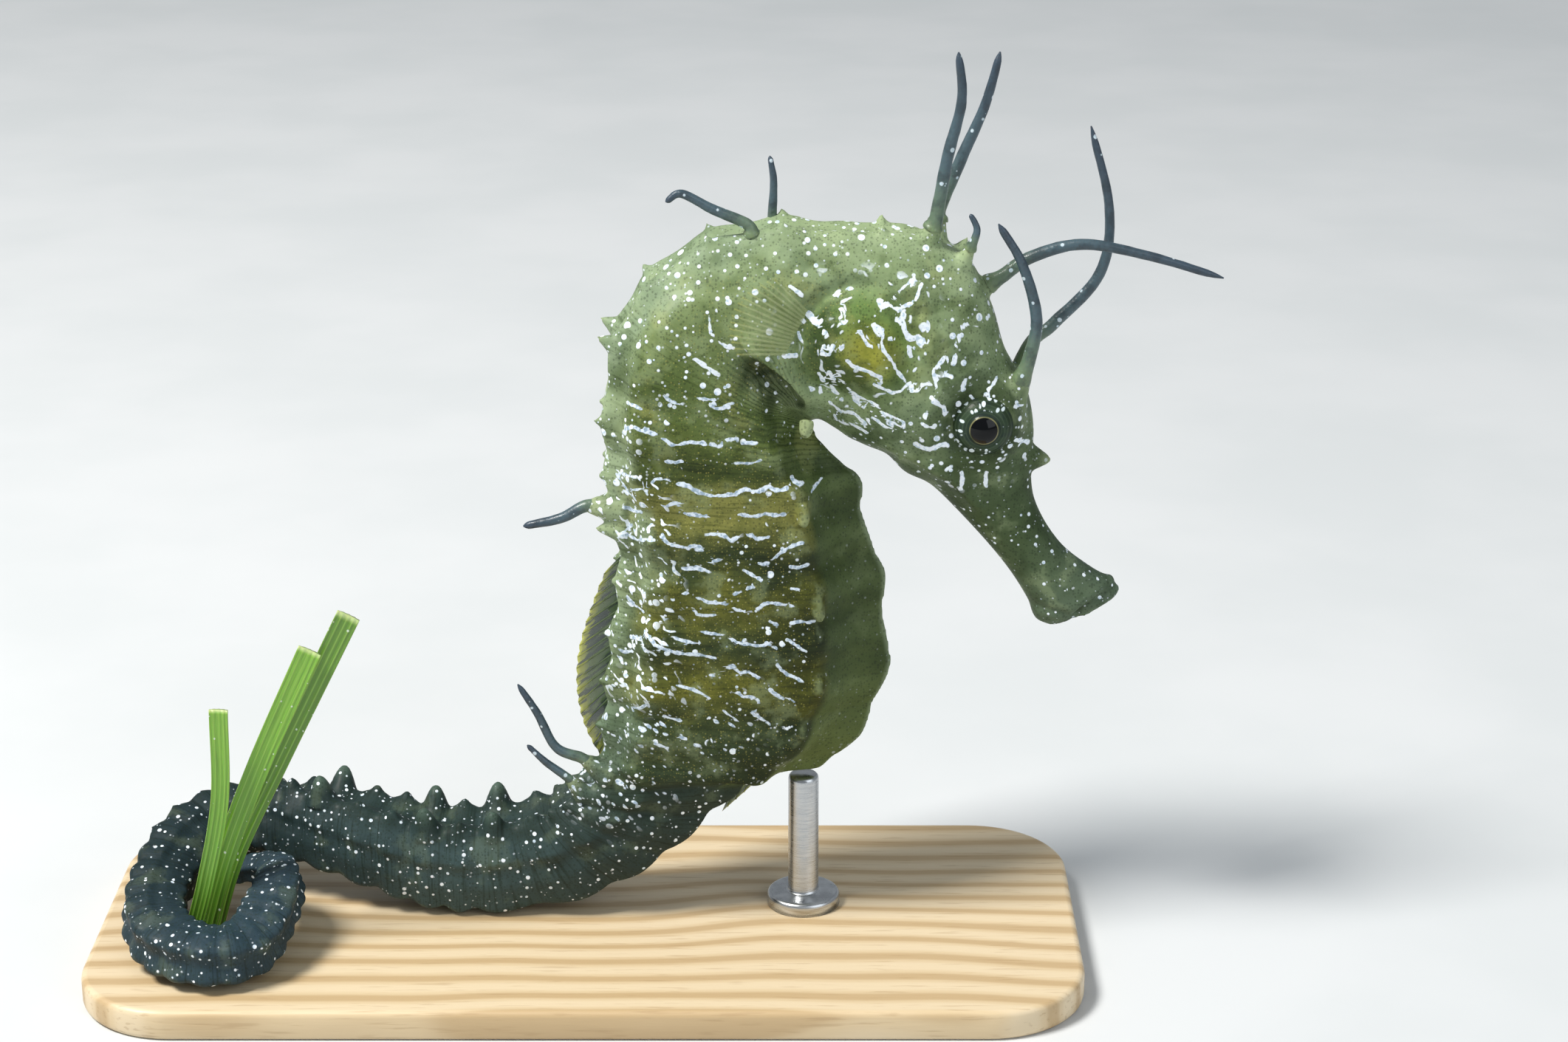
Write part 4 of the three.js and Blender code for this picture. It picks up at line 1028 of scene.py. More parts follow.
# %% Skin: where the point is
skin_material, tree, skin_shader = new_material(
    "skin", Roughness=0.58, IOR=1.36, Specular_IOR_Level=0.3, Subsurface_Weight=0.1,
                                                Subsurface_Scale=0.001, Coat_Roughness=0.25)
skin_shader.inputs["Subsurface Radius"].default_value = (0.7, 1.0, 0.45)
place = millimetres(tree)
at_x, at_z = (wire(tree, "ShaderNodeSeparateXYZ", {0: vector(tree, "SUBTRACT", place, tuple(PLACE))}, out=k)
              for k in (0, 2))
ring, around_mm, depth_u, spine_mm = (attribute(tree, name) for name in ("ring", "around", "depth",
    "spine"))
drift = noise(tree, place, 0.3)
drift = calc(tree, "SUBTRACT", drift, 0.5)
ring_drift = calc(tree, "MULTIPLY_ADD", drift, 1.6, ring)
depth_drift = calc(tree, "MULTIPLY_ADD", drift, 0.7, depth_u)


def circle(tree, x, z, wide=1.0, tall=1.0):
    """Distance in side view from a point of the head or shoulder, in millimetres."""
    dx = calc(tree, "DIVIDE", calc(tree, "SUBTRACT", at_x, x), wide)
    dz = calc(tree, "DIVIDE", calc(tree, "SUBTRACT", at_z, z), tall)
    flat = wire(tree, "ShaderNodeCombineXYZ", {0: dx, 1: dz})
    return vector(tree, "LENGTH", flat, out=1)


def both(tree, *factors):
    """The product of several masks."""
    made = factors[0]
    for factor in factors[1:]:
        made = calc(tree, "MULTIPLY", made, factor)
    return made


# %% Skin: the ground colours
BACK = [(-10, (92, 108, 88)), (-9, (78, 94, 74)), (-7, (68, 84, 56)), (-5, (80, 96, 62)),
        (-3.6, (92, 108, 80)),
        (-2.4, (120, 137, 98)), (-1, (150, 167, 128)), (0.5, (136, 153, 114)), (2, (130, 148, 116)),
        (3.5, (134, 152, 120)), (5, (142, 158, 124)), (9, (126, 143, 110)), (11, (104, 122, 98)),
        (12.5, (70, 86, 74)), (14.5, (46, 60, 56)), (18, (40, 56, 52)), (24, (32, 47, 46)),
        (30, (28, 43, 46)), (38, (46, 64, 72)), (53, (52, 68, 74))]
FLANK = [(-10, (86, 102, 80)), (-7, (66, 82, 50)), (-5, (70, 86, 56)), (-3.6, (98, 114, 80)),
         (-2.2, (106, 123, 90)),
         (-0.8, (128, 146, 104)), (0.6, (130, 148, 108)), (2, (132, 149, 106)), (3.2, (112, 128, 80)),
         (4.2, (82, 98, 48)), (5.0, (84, 96, 44)), (5.6, (58, 70, 30)), (6.35, (128, 128, 66)),
         (7.35, (54, 66, 34)),
         (8.2, (100, 102, 40)), (9.0, (50, 62, 32)), (9.85, (102, 103, 38)), (10.6, (58, 70, 38)),
         (11.4, (56, 70, 42)), (12.6, (42, 56, 46)), (14.5, (42, 56, 52)), (18, (62, 81, 82)),
         (24, (32, 47, 48)),
         (30, (30, 46, 50)), (38, (40, 58, 68)), (53, (44, 60, 68))]


def stops(table):
    return [(place, paint(*colour)) for place, colour in table]


back_colour = ramp(tree, ring_drift, stops(BACK), -10, 53)
flank_colour = ramp(tree, ring_drift, stops(FLANK), -10, 53)
ground = blend(tree, between(tree, depth_drift, 0.62, 1.0), flank_colour, back_colour)
fibre_place = wire(tree, "ShaderNodeCombineXYZ", {0: calc(tree, "MULTIPLY", around_mm, 0.22),
                                                  1: calc(tree, "MULTIPLY", ring, 13.0)})
fibres = noise(tree, fibre_place, 1.0, 3.0)
ground = blend(tree, both(tree, between(tree, fibres, 0.5, 0.66), between(tree, ring, 2.5, 4.0), 0.45),
               ground,
               paint(104, 122, 70), "MULTIPLY")
in_keel = both(tree, between(tree, depth_u, -0.5, -0.6), between(tree, ring, 4.2, 5.4),
               between(tree, ring, 12.8, 12.2))
keel_ripple = calc(tree, "COSINE", calc(tree, "MULTIPLY_ADD", ring, 2 * math.pi,
                                        calc(tree, "MULTIPLY", drift, 4.0)))
keel_colour = ramp(tree, noise(tree, place, 0.25, 4.0),
                   [(0.35, paint(58, 72, 38)), (0.65, paint(76, 90, 50))])
keel_colour = blend(tree, between(tree, keel_ripple, 0.1, 1.0, 0, 0.45), keel_colour, paint(92, 108, 66))
keel_colour = blend(tree, between(tree, ring, 9.0, 11.5, 0, 0.65), keel_colour, paint(108, 122, 70))
ground = blend(tree, in_keel, ground, keel_colour)
low_flank = both(tree, between(tree, in_keel, 0, 1, 1, 0.4), between(tree, depth_drift, 0.15, -0.4),
                 between(tree, ring, 6.0, 7.6), between(tree, ring, 12.4, 11.8))
ground = blend(tree, both(tree, low_flank, 0.7), ground, paint(150, 160, 130), "MULTIPLY")
# painted highlight: a pale line along the lit edge of the keel
lit_keel_edge = both(tree, between(tree, depth_u, -0.95, -1.0), between(tree, ring, 4.6, 6),
                 between(tree, ring, 12.4, 11.8))
ground = blend(tree, both(tree, lit_keel_edge, 0.55), ground, paint(146, 160, 130))

# %% Skin: patches on the head and shoulder
gill_distance = circle(tree, GILL[0], GILL[1])
near_gill = both(tree, between(tree, ring, 3, 2), between(tree, depth_u, 0.75, 0.4))
ground = blend(tree, both(tree, between(tree, gill_distance, 5.6, 3.2), near_gill, 0.8), ground,
               paint(98, 126, 58))
ground = blend(tree, both(tree, between(tree, circle(tree, 6.3, 48.6), 3.6, 0.8), near_gill), ground,
               paint(146, 148, 58))
# painted shade: dark olive in the hollow behind the flap and in the mouth, lip and chin creases
ground = blend(tree, between(tree, attribute(tree, "shade"), 0.2, 0.8, 0, 0.9), ground, paint(30, 42, 16))
crescent = both(tree, between(tree, gill_distance, 1.5, 2.3), between(tree, gill_distance, 4.5, 3.8),
                between(tree, calc(tree, "MULTIPLY_ADD", calc(tree, "SUBTRACT", at_z, GILL[1]), 0.5, at_x),
                        5.6, 4.6),
                between(tree, ring, 3.0, 2.4))
ground = blend(tree, both(tree, crescent, 0.85), ground, paint(48, 66, 28))
clouds = noise(tree, vector(tree, "ADD", place, (11.0, 2.0, 7.0)), 0.2, 3.0)
on_arch = both(tree, between(tree, ring, -2.5, -1.0), between(tree, ring, 6.0, 4.6),
               between(tree, depth_u, 1.0, 0.7))
ground = blend(tree, both(tree, between(tree, clouds, 0.5, 0.6), on_arch, 0.55), ground, paint(92, 108, 58))
ground = blend(tree, both(tree, between(tree, clouds, 0.44, 0.36), on_arch, 0.35), ground,
               paint(150, 154, 92))
eye_distance = circle(tree, EYE["x"], EYE["z"])
ground = blend(tree, both(tree, between(tree, eye_distance, 4.0, 2.6), 0.9), ground, paint(50, 64, 40))
head_clouds = noise(tree, vector(tree, "ADD", place, (4.0, 17.0, 9.0)), 0.5, 3.0)
on_side = both(tree, between(tree, ring, 1.8, 0.6), between(tree, ring, -6.0, -4.5),
               between(tree, depth_u, 0.9, 0.7))
ground = blend(tree, both(tree, between(tree, head_clouds, 0.47, 0.58), on_side, 0.45), ground,
               paint(64, 80, 42))
mottle = noise(tree, vector(tree, "ADD", place, (31.0, 7.0, 3.0)), 0.42, 4.0)
calm_tail = both(tree, between(tree, ring, 13.5, 11.5, 0.35, 1.0), between(tree, in_keel, 0, 1, 1.0, 0.3))
ground = blend(tree, both(tree, between(tree, mottle, 0.5, 0.66), 0.4, calm_tail), ground,
               paint(118, 140, 84), "MULTIPLY")
ground = blend(tree, both(tree, between(tree, mottle, 0.48, 0.34), 0.22, calm_tail), ground,
               paint(170, 186, 140))
tip_colour = blend(tree, between(tree, ring, 12, 15), paint(158, 170, 128), paint(86, 106, 92))
ground = blend(tree, between(tree, spine_mm, 0.35, 1.5, 0, 0.6), ground, tip_colour)

# %% Skin: fine folds with painted shade in their grooves, and flecks
fold_wave = calc(tree, "SINE", calc(tree, "MULTIPLY_ADD", ring, 40.0, calc(tree, "MULTIPLY", drift, 14.0)))
near_throat = both(tree, between(tree, circle(tree, 0.2, 44.0, 1.0, 1.1), 8.5, 2.0),
                   between(tree, ring, 1.0, 2.2),
                   between(tree, ring, 7, 5))
folds = both(tree, between(tree, fold_wave, -0.2, 1.0), near_throat)
# painted shade: the grooves of the throat folds are darkened
ground = blend(tree, both(tree, folds, 0.45), ground, paint(48, 62, 26))
gold_flecks = sprinkled(tree, place, 0.2, 0.045, 0.03)
in_flank = both(tree, between(tree, ring, -1.5, 0.5), between(tree, ring, 12.4, 11.4),
                between(tree, depth_u, 0.9, 0.5), between(tree, depth_u, -0.55, -0.4))
ground = blend(tree, both(tree, gold_flecks, in_flank, 0.28), ground, paint(186, 178, 92))
dark_flecks = sprinkled(tree, vector(tree, "ADD", place, (5.0, 9.0, 2.0)), 0.22, 0.075, 0.04)
ground = blend(tree, both(tree, dark_flecks, 0.4), ground, paint(30, 40, 26))

# %% [markdown]
# The white marks come last. The bold ones are drawn from their table. The small ones
# follow rules: round dots on the arch, the head and the snout, rows of dots round the
# eye, thin arcs behind the gill cover, short dashes at the tail's root, and a fine dust
# of specks on the tail.

# %% Skin: dots
head_dots = sprinkled(tree, place, 1.0, 0.22, 0.04)
more_dots = sprinkled(tree, vector(tree, "ADD", place, (7.0, 3.0, 5.0)), 0.75, 0.13, 0.04)
head_dots = both(tree, calc(tree, "MAXIMUM", head_dots, more_dots), between(tree, ring, -5.8, -4.8))
on_front = calc(tree, "MAXIMUM", between(tree, ring, 4.8, 4.0), between(tree, depth_u, 0.6, 0.75))
few = both(tree, between(tree, noise(tree, place, 0.4, 1.0), 0.54, 0.57),
           between(tree, depth_u, -0.5, -0.4))
on_front = both(tree, calc(tree, "MAXIMUM", on_front, few), between(tree, ring, 13.5, 12.0))
off_eye = between(tree, eye_distance, 3.1, 3.5)
dot_mask = both(tree, head_dots, on_front, off_eye)
small_dots = sprinkled(tree, vector(tree, "ADD", place, (3.0, 2.0, 8.0)), 0.64, 0.12, 0.035)
on_tail = between(tree, ring, 10.8, 12.4)
on_snout = between(tree, ring, -5, -6.2)
dot_mask = calc(tree, "MAXIMUM", dot_mask, both(tree, small_dots, calc(tree, "MAXIMUM", on_tail, on_snout)))
dust = sprinkled(tree, vector(tree, "ADD", place, (1.0, 4.0, 6.0)), 0.5, 0.065, 0.03)
dot_mask = calc(tree, "MAXIMUM", dot_mask, both(tree, dust, between(tree, in_keel, 0.2, 0.9, 0.45, 0.12)))
eye_angle = calc(tree, "ARCTAN2", calc(tree, "SUBTRACT", at_z, EYE["z"]),
                 calc(tree, "SUBTRACT", at_x, EYE["x"]))
polar = wire(tree, "ShaderNodeCombineXYZ", {0: calc(tree, "MULTIPLY", eye_angle, 2.3), 1: eye_distance})
eye_rows = sprinkled(tree, polar, 0.5, 0.14, 0.04)
round_eye = both(tree, between(tree, eye_distance, 3.7, 3.3), between(tree, ring, -0.6, -1.2))
dot_mask = calc(tree, "MAXIMUM", dot_mask, both(tree, eye_rows, round_eye))

# %% Skin: the bold marks
mark_spot = wire(tree, "ShaderNodeAttribute", out=1, attribute_name="mark_near")
mark_x, mark_z, half_width = (wire(tree, "ShaderNodeSeparateXYZ", {0: mark_spot}, out=k) for k in range(3))
to_mark = wire(tree, "ShaderNodeCombineXYZ", {0: calc(tree, "SUBTRACT", at_x, mark_x),
                                              1: calc(tree, "SUBTRACT", at_z, mark_z)})
ragged = calc(tree, "SUBTRACT", noise(tree, place, 1.9, 2.0), 0.5)
off_mark = calc(tree, "MULTIPLY_ADD", half_width, -0.88, vector(tree, "LENGTH", to_mark, out=1))
bold = both(tree, between(tree, calc(tree, "MULTIPLY_ADD", ragged, 0.34, off_mark), 0.02, -0.04),
            between(tree, attribute(tree, "mark_gap"), 0.15, 0.08))

# %% Skin: strokes round the gill cover
gill_x, gill_z = (calc(tree, "SUBTRACT", at, centre) for at, centre in ((at_x, GILL[0]), (at_z, GILL[1])))
gill_angle = calc(tree, "ARCTAN2", gill_z, calc(tree, "MULTIPLY", gill_x, -1.0))
warp = calc(tree, "MULTIPLY", calc(tree, "SUBTRACT", noise(tree, place, 0.7, 1.0), 0.5), 1.6)
ring_place = wire(tree, "ShaderNodeCombineXYZ", {0: calc(tree, "MULTIPLY", gill_angle, 0.9),
                                                 1: calc(tree, "ADD", gill_distance, warp), 2: 1.7})
arcs = sprinkled(tree, ring_place, 0.42, 0.12, 0.03)
behind = both(tree, between(tree, gill_distance, 4.8, 4.2), between(tree, gill_distance, 1.2, 1.8),
              between(tree, calc(tree, "ADD", gill_x, calc(tree, "MULTIPLY", gill_z, 0.5)), 0.6, -0.2),
              between(tree, ring, 3.0, 2.4))
tilted = wire(tree, "ShaderNodeVectorRotate",
              {"Vector": place, "Axis": (0.0, 1.0, 0.0), "Angle": math.radians(-42)},
              rotation_type="AXIS_ANGLE")
wavy = vector(tree, "ADD", tilted, vector(tree, "SCALE", noise(tree, place, 0.7, 1.0, out=1), 0.9))
by_gill = both(tree, between(tree, gill_distance, 7.5, 6.0), between(tree, ring, 2.2, 1.4),
               between(tree, depth_u, 0.8, 0.6))
dash_place = wire(tree, "ShaderNodeCombineXYZ", {0: calc(tree, "MULTIPLY", gill_angle, 2.6),
                                                 1: calc(tree, "ADD", gill_distance, warp), 2: 5.3})
head_dashes = both(tree, sprinkled(tree, dash_place, 0.62, 0.17, 0.04),
                   by_gill, between(tree, gill_distance, 1.6, 2.2), between(tree, off_mark, 0.2, 0.3),
                   between(tree, behind, 0.6, 0.2))
dashes = sprinkled(tree, vector(tree, "MULTIPLY", wavy, (0.5, 1.0, 1.0)), 0.54, 0.14, 0.035)
dash_room = both(tree, between(tree, ring, 9.4, 10.6), between(tree, ring, 15.0, 12.8),
                 between(tree, depth_u, -0.3, 0.1))
long_place = vector(tree, "MULTIPLY", wavy, (0.5, 1.0, 1.0))
small_islands = between(tree, noise(tree, long_place, 2.3, 0.5), 0.645, 0.675)
back_strip = both(tree, between(tree, ring, 5.2, 5.8), between(tree, ring, 10.6, 9.8),
                  between(tree, depth_u, 0.45, 0.6))
dash_mask = calc(tree, "MAXIMUM", both(tree, dashes, dash_room), head_dashes)
stroke_mask = both(tree, calc(tree, "MAXIMUM", both(tree, arcs, behind, 0.8),
                              both(tree, small_islands, back_strip)), off_eye)
stroke_mask = calc(tree, "MAXIMUM", calc(tree, "MAXIMUM", stroke_mask, dash_mask), bold)
dot_mask = both(tree, dot_mask, between(tree, calc(tree, "MAXIMUM", by_gill, behind), 1.0, 0.0))
off_knob = between(tree, circle(tree, 1.5, 42.9), 1.1, 1.5)
marks = both(tree, calc(tree, "MAXIMUM", dot_mask, stroke_mask, clamp=True), off_knob)

# %% Skin: put it together
patchy = noise(tree, place, 3.4, 3.0)
mark_colour = ramp(tree, patchy, [(0.34, paint(188, 206, 220)), (0.5, paint(236, 243, 250))])
silver = ramp(tree, patchy, [(0.36, paint(150, 170, 188)), (0.58, paint(220, 231, 243))])
mark_colour = blend(tree, both(tree, calc(tree, "MAXIMUM", bold, dash_mask),
                               between(tree, ring, 3.0, 4.5)), mark_colour, silver)
skin_colour = blend(tree, marks, ground, mark_colour)
tree.links.new(skin_colour, skin_shader.inputs["Base Color"])
tree.links.new(between(tree, marks, 0, 1, 0.58, 0.4), skin_shader.inputs["Roughness"])
tree.links.new(between(tree, marks, 0, 1, 0.04, 0.2), skin_shader.inputs["Coat Weight"])
skin_height = placed_group(tree, grain, {"Place": place, "Size": 0.5, "Pits": 0.35})
skin_height = calc(tree, "ADD", calc(tree, "MULTIPLY_ADD", marks, 0.5, skin_height),
                   calc(tree, "MULTIPLY", folds, -1.2))
skin_bump = wire(tree, "ShaderNodeBump", {"Strength": 0.6, "Distance": 0.00006, "Height": skin_height})
tree.links.new(skin_bump, skin_shader.inputs["Normal"])
skin.data.materials.clear()
skin.data.materials.append(skin_material)
print("skin nodes:", len(tree.nodes))

# %% [markdown]
# ### Filaments
# The filaments start in the colour of the skin and turn blue-black towards their tips,
# with a few white specks.

# %% Filament material and pieces
thread_material, tree, shader = new_material("filament", Roughness=0.45, Subsurface_Weight=0.1,
                                             Subsurface_Scale=0.0006, Coat_Weight=0.15)
place = millimetres(tree)
thread_colour = ramp(tree, attribute(tree, "level"), [
    (0.0, paint(108, 127, 88)), (0.25, paint(92, 112, 92)), (0.5, paint(66, 86, 94)),
                                                      (1.0, paint(48, 64, 78))])
mottle = noise(tree, place, 0.9, 3.0)
thread_colour = blend(tree, between(tree, mottle, 0.45, 0.65, 0, 0.5), thread_colour, paint(30, 42, 50))
white = sprinkled(tree, place, 0.8, 0.13, 0.04)
thread_colour = blend(tree, white, thread_colour, paint(190, 206, 214))
tree.links.new(thread_colour, shader.inputs["Base Color"])
height = placed_group(tree, grain, {"Place": place, "Size": 0.4, "Pits": 0.4})
tree.links.new(wire(tree, "ShaderNodeBump", {"Strength": 0.6, "Distance": 0.00008, "Height": height}),
               shader.inputs["Normal"])

pieces = []                               # (object, the nodes it stands for, material slot)
THREAD_POINTS = 48
for name, (line, y, radius, root, root_radius) in FILAMENTS.items():
    spots = [(x, y[0] + (y[1] - y[0]) * k / (len(line) - 1), z) for k, (x, z) in enumerate(line)]
    start = np.array(spots[0]) + (np.array(root) - spots[0]) * 0.45
    path = smooth_line([start, *spots], THREAD_POINTS)
    t = np.linspace(0, 1, THREAD_POINTS)
    thickness = radius * (1.12 - 0.55 * t**1.5 + 0.5 * mound(t,
        0.12)) * np.sqrt(np.clip((1.002 - t) / 0.05, 0.03, 1))
    thread = threads(name + "_skin", [path], [thickness], thread_material, sides=14, roughness=0.1)
    pieces.append((thread, (name,), "filament"))
print("filaments:", len(pieces), "with", sum(triangles(p[0]) for p in pieces), "triangles")

# %% [markdown]
# ## Fins
# Each fin is a row of stiff rays with a clear skin between them. The rays come from the
# same thread tree as the filaments. The skin is one thin sheet with a little thickness,
# so that it is a closed body, and it is drawn back between the rays at its edge.

# %% Fin tools
def fin_sheet(name, feet, edges, thickness, rows=14):
    """A thin closed sheet between matching points at its foot and its edge, in millimetres."""
    t = np.linspace(0, 1, rows)[:, None, None]
    surface = feet[None] * (1 - t) + edges[None] * t
    across = np.gradient(surface, axis=1)
    upward = np.gradient(surface, axis=0)
    face_way = np.cross(across, upward)
    face_way /= np.maximum(np.linalg.norm(face_way, axis=2, keepdims=True), 1e-9)
    half = thickness / 2 * (1 - 0.6 * t)
    front, rear = surface + face_way * half, surface - face_way * half
    count = len(feet)
    grid = np.arange(rows * count).reshape(rows, count)
    a, b, c, d = grid[:-1, :-1], grid[:-1, 1:], grid[1:, 1:], grid[1:, :-1]
    quads = np.stack([a, b, c, d], axis=2).reshape(-1, 4)
    shift = rows * count
    border = np.concatenate([grid[0], grid[1:, -1], grid[-1, -2::-1], grid[-2:0:-1, 0]])
    rim_quads = [(p, p + shift, q + shift, q) for p, q in zip(border, np.roll(border, -1))]
    made = new_object(name, placed(np.concatenate([front.reshape(-1, 3), rear.reshape(-1, 3)])),
                      quads.tolist() + (quads[:, ::-1] + shift).tolist() + rim_quads)
    up = np.repeat(np.linspace(0, 1, rows), count)
    along = np.tile(np.linspace(0, 1, count), rows)
    store(made.data, "up", np.tile(up, 2))
    store(made.data, "along", np.tile(along, 2))
    work = bmesh.new()
    work.from_mesh(made.data)
    bmesh.ops.recalc_face_normals(work, faces=work.faces)
    work.to_mesh(made.data)
    work.free()
    return made


def joined(name, parts):
    """Several mesh objects as one; materials stay with their faces."""
    bpy.ops.object.select_all(action="DESELECT")
    for part in parts:
        part.select_set(True)
    bpy.context.view_layer.objects.active = parts[0]
    bpy.ops.object.join()
    parts[0].name = name
    parts[0].data.name = name
    return parts[0]


# %% Fin materials
web_material, tree, shader = new_material("fin_web", Roughness=0.3, IOR=1.38, Coat_Weight=0.2)
up, along = attribute(tree, "up"), attribute(tree, "along")
place = millimetres(tree)
streak = wire(tree, "ShaderNodeCombineXYZ",
              {0: calc(tree, "MULTIPLY", along, 30.0), 1: calc(tree, "MULTIPLY", up, 2.2)})
web_colour = ramp(tree, up, [(0.0, paint(104, 124, 84)), (0.45, paint(78, 98, 66)),
                             (0.75, paint(88, 106, 58)),
                             (0.92, paint(150, 154, 58)), (1.0, paint(196, 198, 84))])
web_colour = blend(tree, between(tree, noise(tree, streak, 1.0, 2.0), 0.5, 0.58, 0, 0.85), web_colour,
                   paint(38, 52, 54))
tree.links.new(web_colour, shader.inputs["Base Color"])
tree.links.new(between(tree, up, 0.0, 1.0, 0.9, 0.7), shader.inputs["Alpha"])
ray_material, tree, shader = new_material("fin_ray", Roughness=0.35, Coat_Weight=0.2)
ray_colour = ramp(tree, attribute(tree, "level"), [
    (0.0, paint(104, 122, 84)), (0.6, paint(84, 102, 66)), (1.0, paint(150, 154, 66))])
bands = noise(tree, millimetres(tree), 1.1, 1.0)
ray_colour = blend(tree, between(tree, bands, 0.5, 0.6, 0, 0.6), ray_colour, paint(60, 74, 48))
tree.links.new(ray_colour, shader.inputs["Base Color"])
clear_material, tree, shader = new_material("fin_clear", Roughness=0.2, IOR=1.34)
tree.links.new(ramp(tree, attribute(tree, "up"),
                    [(0.0, paint(150, 166, 110)), (1.0, paint(196, 206, 140))]),
               shader.inputs["Base Color"])
tree.links.new(between(tree, attribute(tree, "up"), 0.0, 1.0, 0.12, 0.03), shader.inputs["Alpha"])
clear_ray_material, tree, shader = new_material("fin_clear_ray", Roughness=0.25)
tree.links.new(ramp(tree, attribute(tree, "level"),
                    [(0.0, paint(156, 168, 112)), (0.75, paint(204, 212, 160)),
                                                     (1.0, paint(222, 214, 96))]),
               shader.inputs["Base Color"])
tree.links.new(between(tree, attribute(tree, "level"), 0.0, 1.0, 0.34, 0.12), shader.inputs["Alpha"])

# %% Dorsal fin
DORSAL_RAYS = 17
ray_spot = np.linspace(0, 1, DORSAL_RAYS * 8 + 1)
fin_rings = 7.4 + 3.6 * ray_spot
fin_middle, fin_out, _, fin_depth, _ = frames_at(fin_rings)
feet = fin_middle + fin_out * (fin_depth * 0.94 - 0.7)[:, None]
fan = np.clip(ray_spot, 0, 1)
fin_height = 1.55 + 3.0 * np.sin(np.pi * (fan * 0.93 + 0.07)) ** 0.7
scallop = 0.12 * np.abs(np.sin(np.pi * ray_spot * DORSAL_RAYS))
lean = np.array([0, 0, -1.0]) * (2.6 + 1.6 * fan)[:, None]
edges = feet + fin_out * (fin_height - 0.22 + scallop)[:, None] + lean
web = fin_sheet("dorsal_web", feet, edges, 0.16)
web.data.materials.append(web_material)
chosen = np.arange(4, len(ray_spot), 8)
bend = np.linspace(0, 1, 12)[:, None]
ray_lines = [feet[k] * (1 - bend) + edges[k] * bend for k in chosen]
rays = threads("dorsal_rays", ray_lines, [np.linspace(0.11, 0.05, 12)] * len(chosen), ray_material, sides=8)
pieces.append((joined("dorsal_fin_fine", [web, rays]), ("dorsal_fin",), "fin"))
print("dorsal fin:", len(chosen), "rays,", triangles(pieces[-1][0]), "triangles")


# %% Pectoral and anal fins
def pectoral(side):
    """A fan of clear rays on a short foot, lying back along the neck."""
    away = np.array([-0.86, side * 0.26, 0.42]) / math.hypot(0.86, 0.26, 0.42)
    up_way = np.array([0.42, 0, 0.86]) / math.hypot(0.42, 0.86)
    origin = np.array([0.6, side * 5.6, 50.8])
    t = np.linspace(-1, 1, 15 * 6 + 1)
    reach = 5.5 - 1.3 * t**2 - 0.4 * np.abs(np.cos(np.pi * t * 7.5)) * 0.4
    spread = t * 0.62
    foot_points = origin + up_way * (2.0 * t)[:, None] + away * -0.35
    edge_points = foot_points + away * (reach * np.cos(spread))[:,
        None] + up_way * (reach * np.sin(spread) * 0.62)[:, None]
    web = fin_sheet(f"pectoral_web_{side}", foot_points, edge_points, 0.1)
    web.data.materials.append(clear_material)
    bend = np.linspace(0, 1, 10)[:, None]
    lines = [foot_points[k] * (1 - bend) + edge_points[k] * bend for k in range(3, len(t), 6)]
    rays = threads(f"pectoral_rays_{side}", lines, [np.linspace(0.13, 0.06, 10)] * len(lines),
                   clear_ray_material, sides=8)
    return joined(f"pectoral_fin_fine_{'left' if side > 0 else 'right'}", [web, rays])


for side, name in ((-1, "pectoral_fin_right"), (1, "pectoral_fin_left")):
    pieces.append((pectoral(side), (name,), "fin"))
t = np.linspace(0, 1, 25)[:, None]
anal_feet = np.array([-1.3, 0, 12.4]) * (1 - t) + np.array([-4.6, 0, 9.2]) * t
anal_edges = np.array([-2.4, 0, 10.6]) * (1 - t) + np.array([-5.1, 0, 8.0]) * t
anal_web = fin_sheet("anal_web", anal_feet, anal_edges, 0.14, rows=6)
anal_web.data.materials.append(web_material)
lines = [anal_feet[k] * (1 - bend) + anal_edges[k] * bend for k in range(2, 25, 6)]
anal_rays = threads("anal_rays", lines, [np.linspace(0.12, 0.06, 12)] * len(lines), ray_material, sides=8)
pieces.append((joined("anal_fin_fine", [anal_web, anal_rays]), ("anal_fin",), "fin"))
print("fins:", [(p[0].name, triangles(p[0])) for p in pieces[-4:]])

# %% [markdown]
# ## Eyes
# An eye stands in its socket like a small turret. Only the pupil is bare: the rest is
# covered by skin with rows of white dots that point to the pupil. The pupil is a clear
# dome over a black hole, with a thin gold ring. The ball is turned on a lathe of rings
# round its own axis, which points sideways, and the dome is a little rise at its pole.

# %% Eye material
PUPIL = 1.06
eye_material, tree, shader = new_material("eye", IOR=1.36, Coat_Roughness=0.03, Coat_IOR=1.36,
                                          Specular_IOR_Level=0.2)
place = millimetres(tree)
dx = calc(tree, "SUBTRACT", wire(tree, "ShaderNodeSeparateXYZ", {0: place}, out=0), EYE["x"] + PLACE[0])
dz = calc(tree, "SUBTRACT", wire(tree, "ShaderNodeSeparateXYZ", {0: place}, out=2), EYE["z"] + PLACE[2])
radius = vector(tree, "LENGTH", wire(tree, "ShaderNodeCombineXYZ", {0: dx, 1: dz}), out=1)
angle = calc(tree, "ARCTAN2", dz, dx)
iris = ramp(tree, radius, [(1.1, paint(34, 46, 38)), (1.7, paint(52, 68, 50)), (2.1, paint(40, 54, 36)),
                           (2.6, paint(60, 76, 46))], 0, 2.8)
clouds = noise(tree, place, 1.4, 3.0)
iris = blend(tree, between(tree, clouds, 0.46, 0.62, 0, 0.6), iris, paint(34, 46, 44))
rings_round = calc(tree, "SINE", calc(tree, "MULTIPLY", radius, 24.0))
iris = blend(tree, both(tree, between(tree, rings_round, 0.2, 1.0), 0.25), iris, paint(86, 104, 78))
polar = wire(tree, "ShaderNodeCombineXYZ", {0: calc(tree, "MULTIPLY", angle, 2.3), 1: radius})
rows_of_dots = sprinkled(tree, polar, 0.46, 0.16, 0.04)
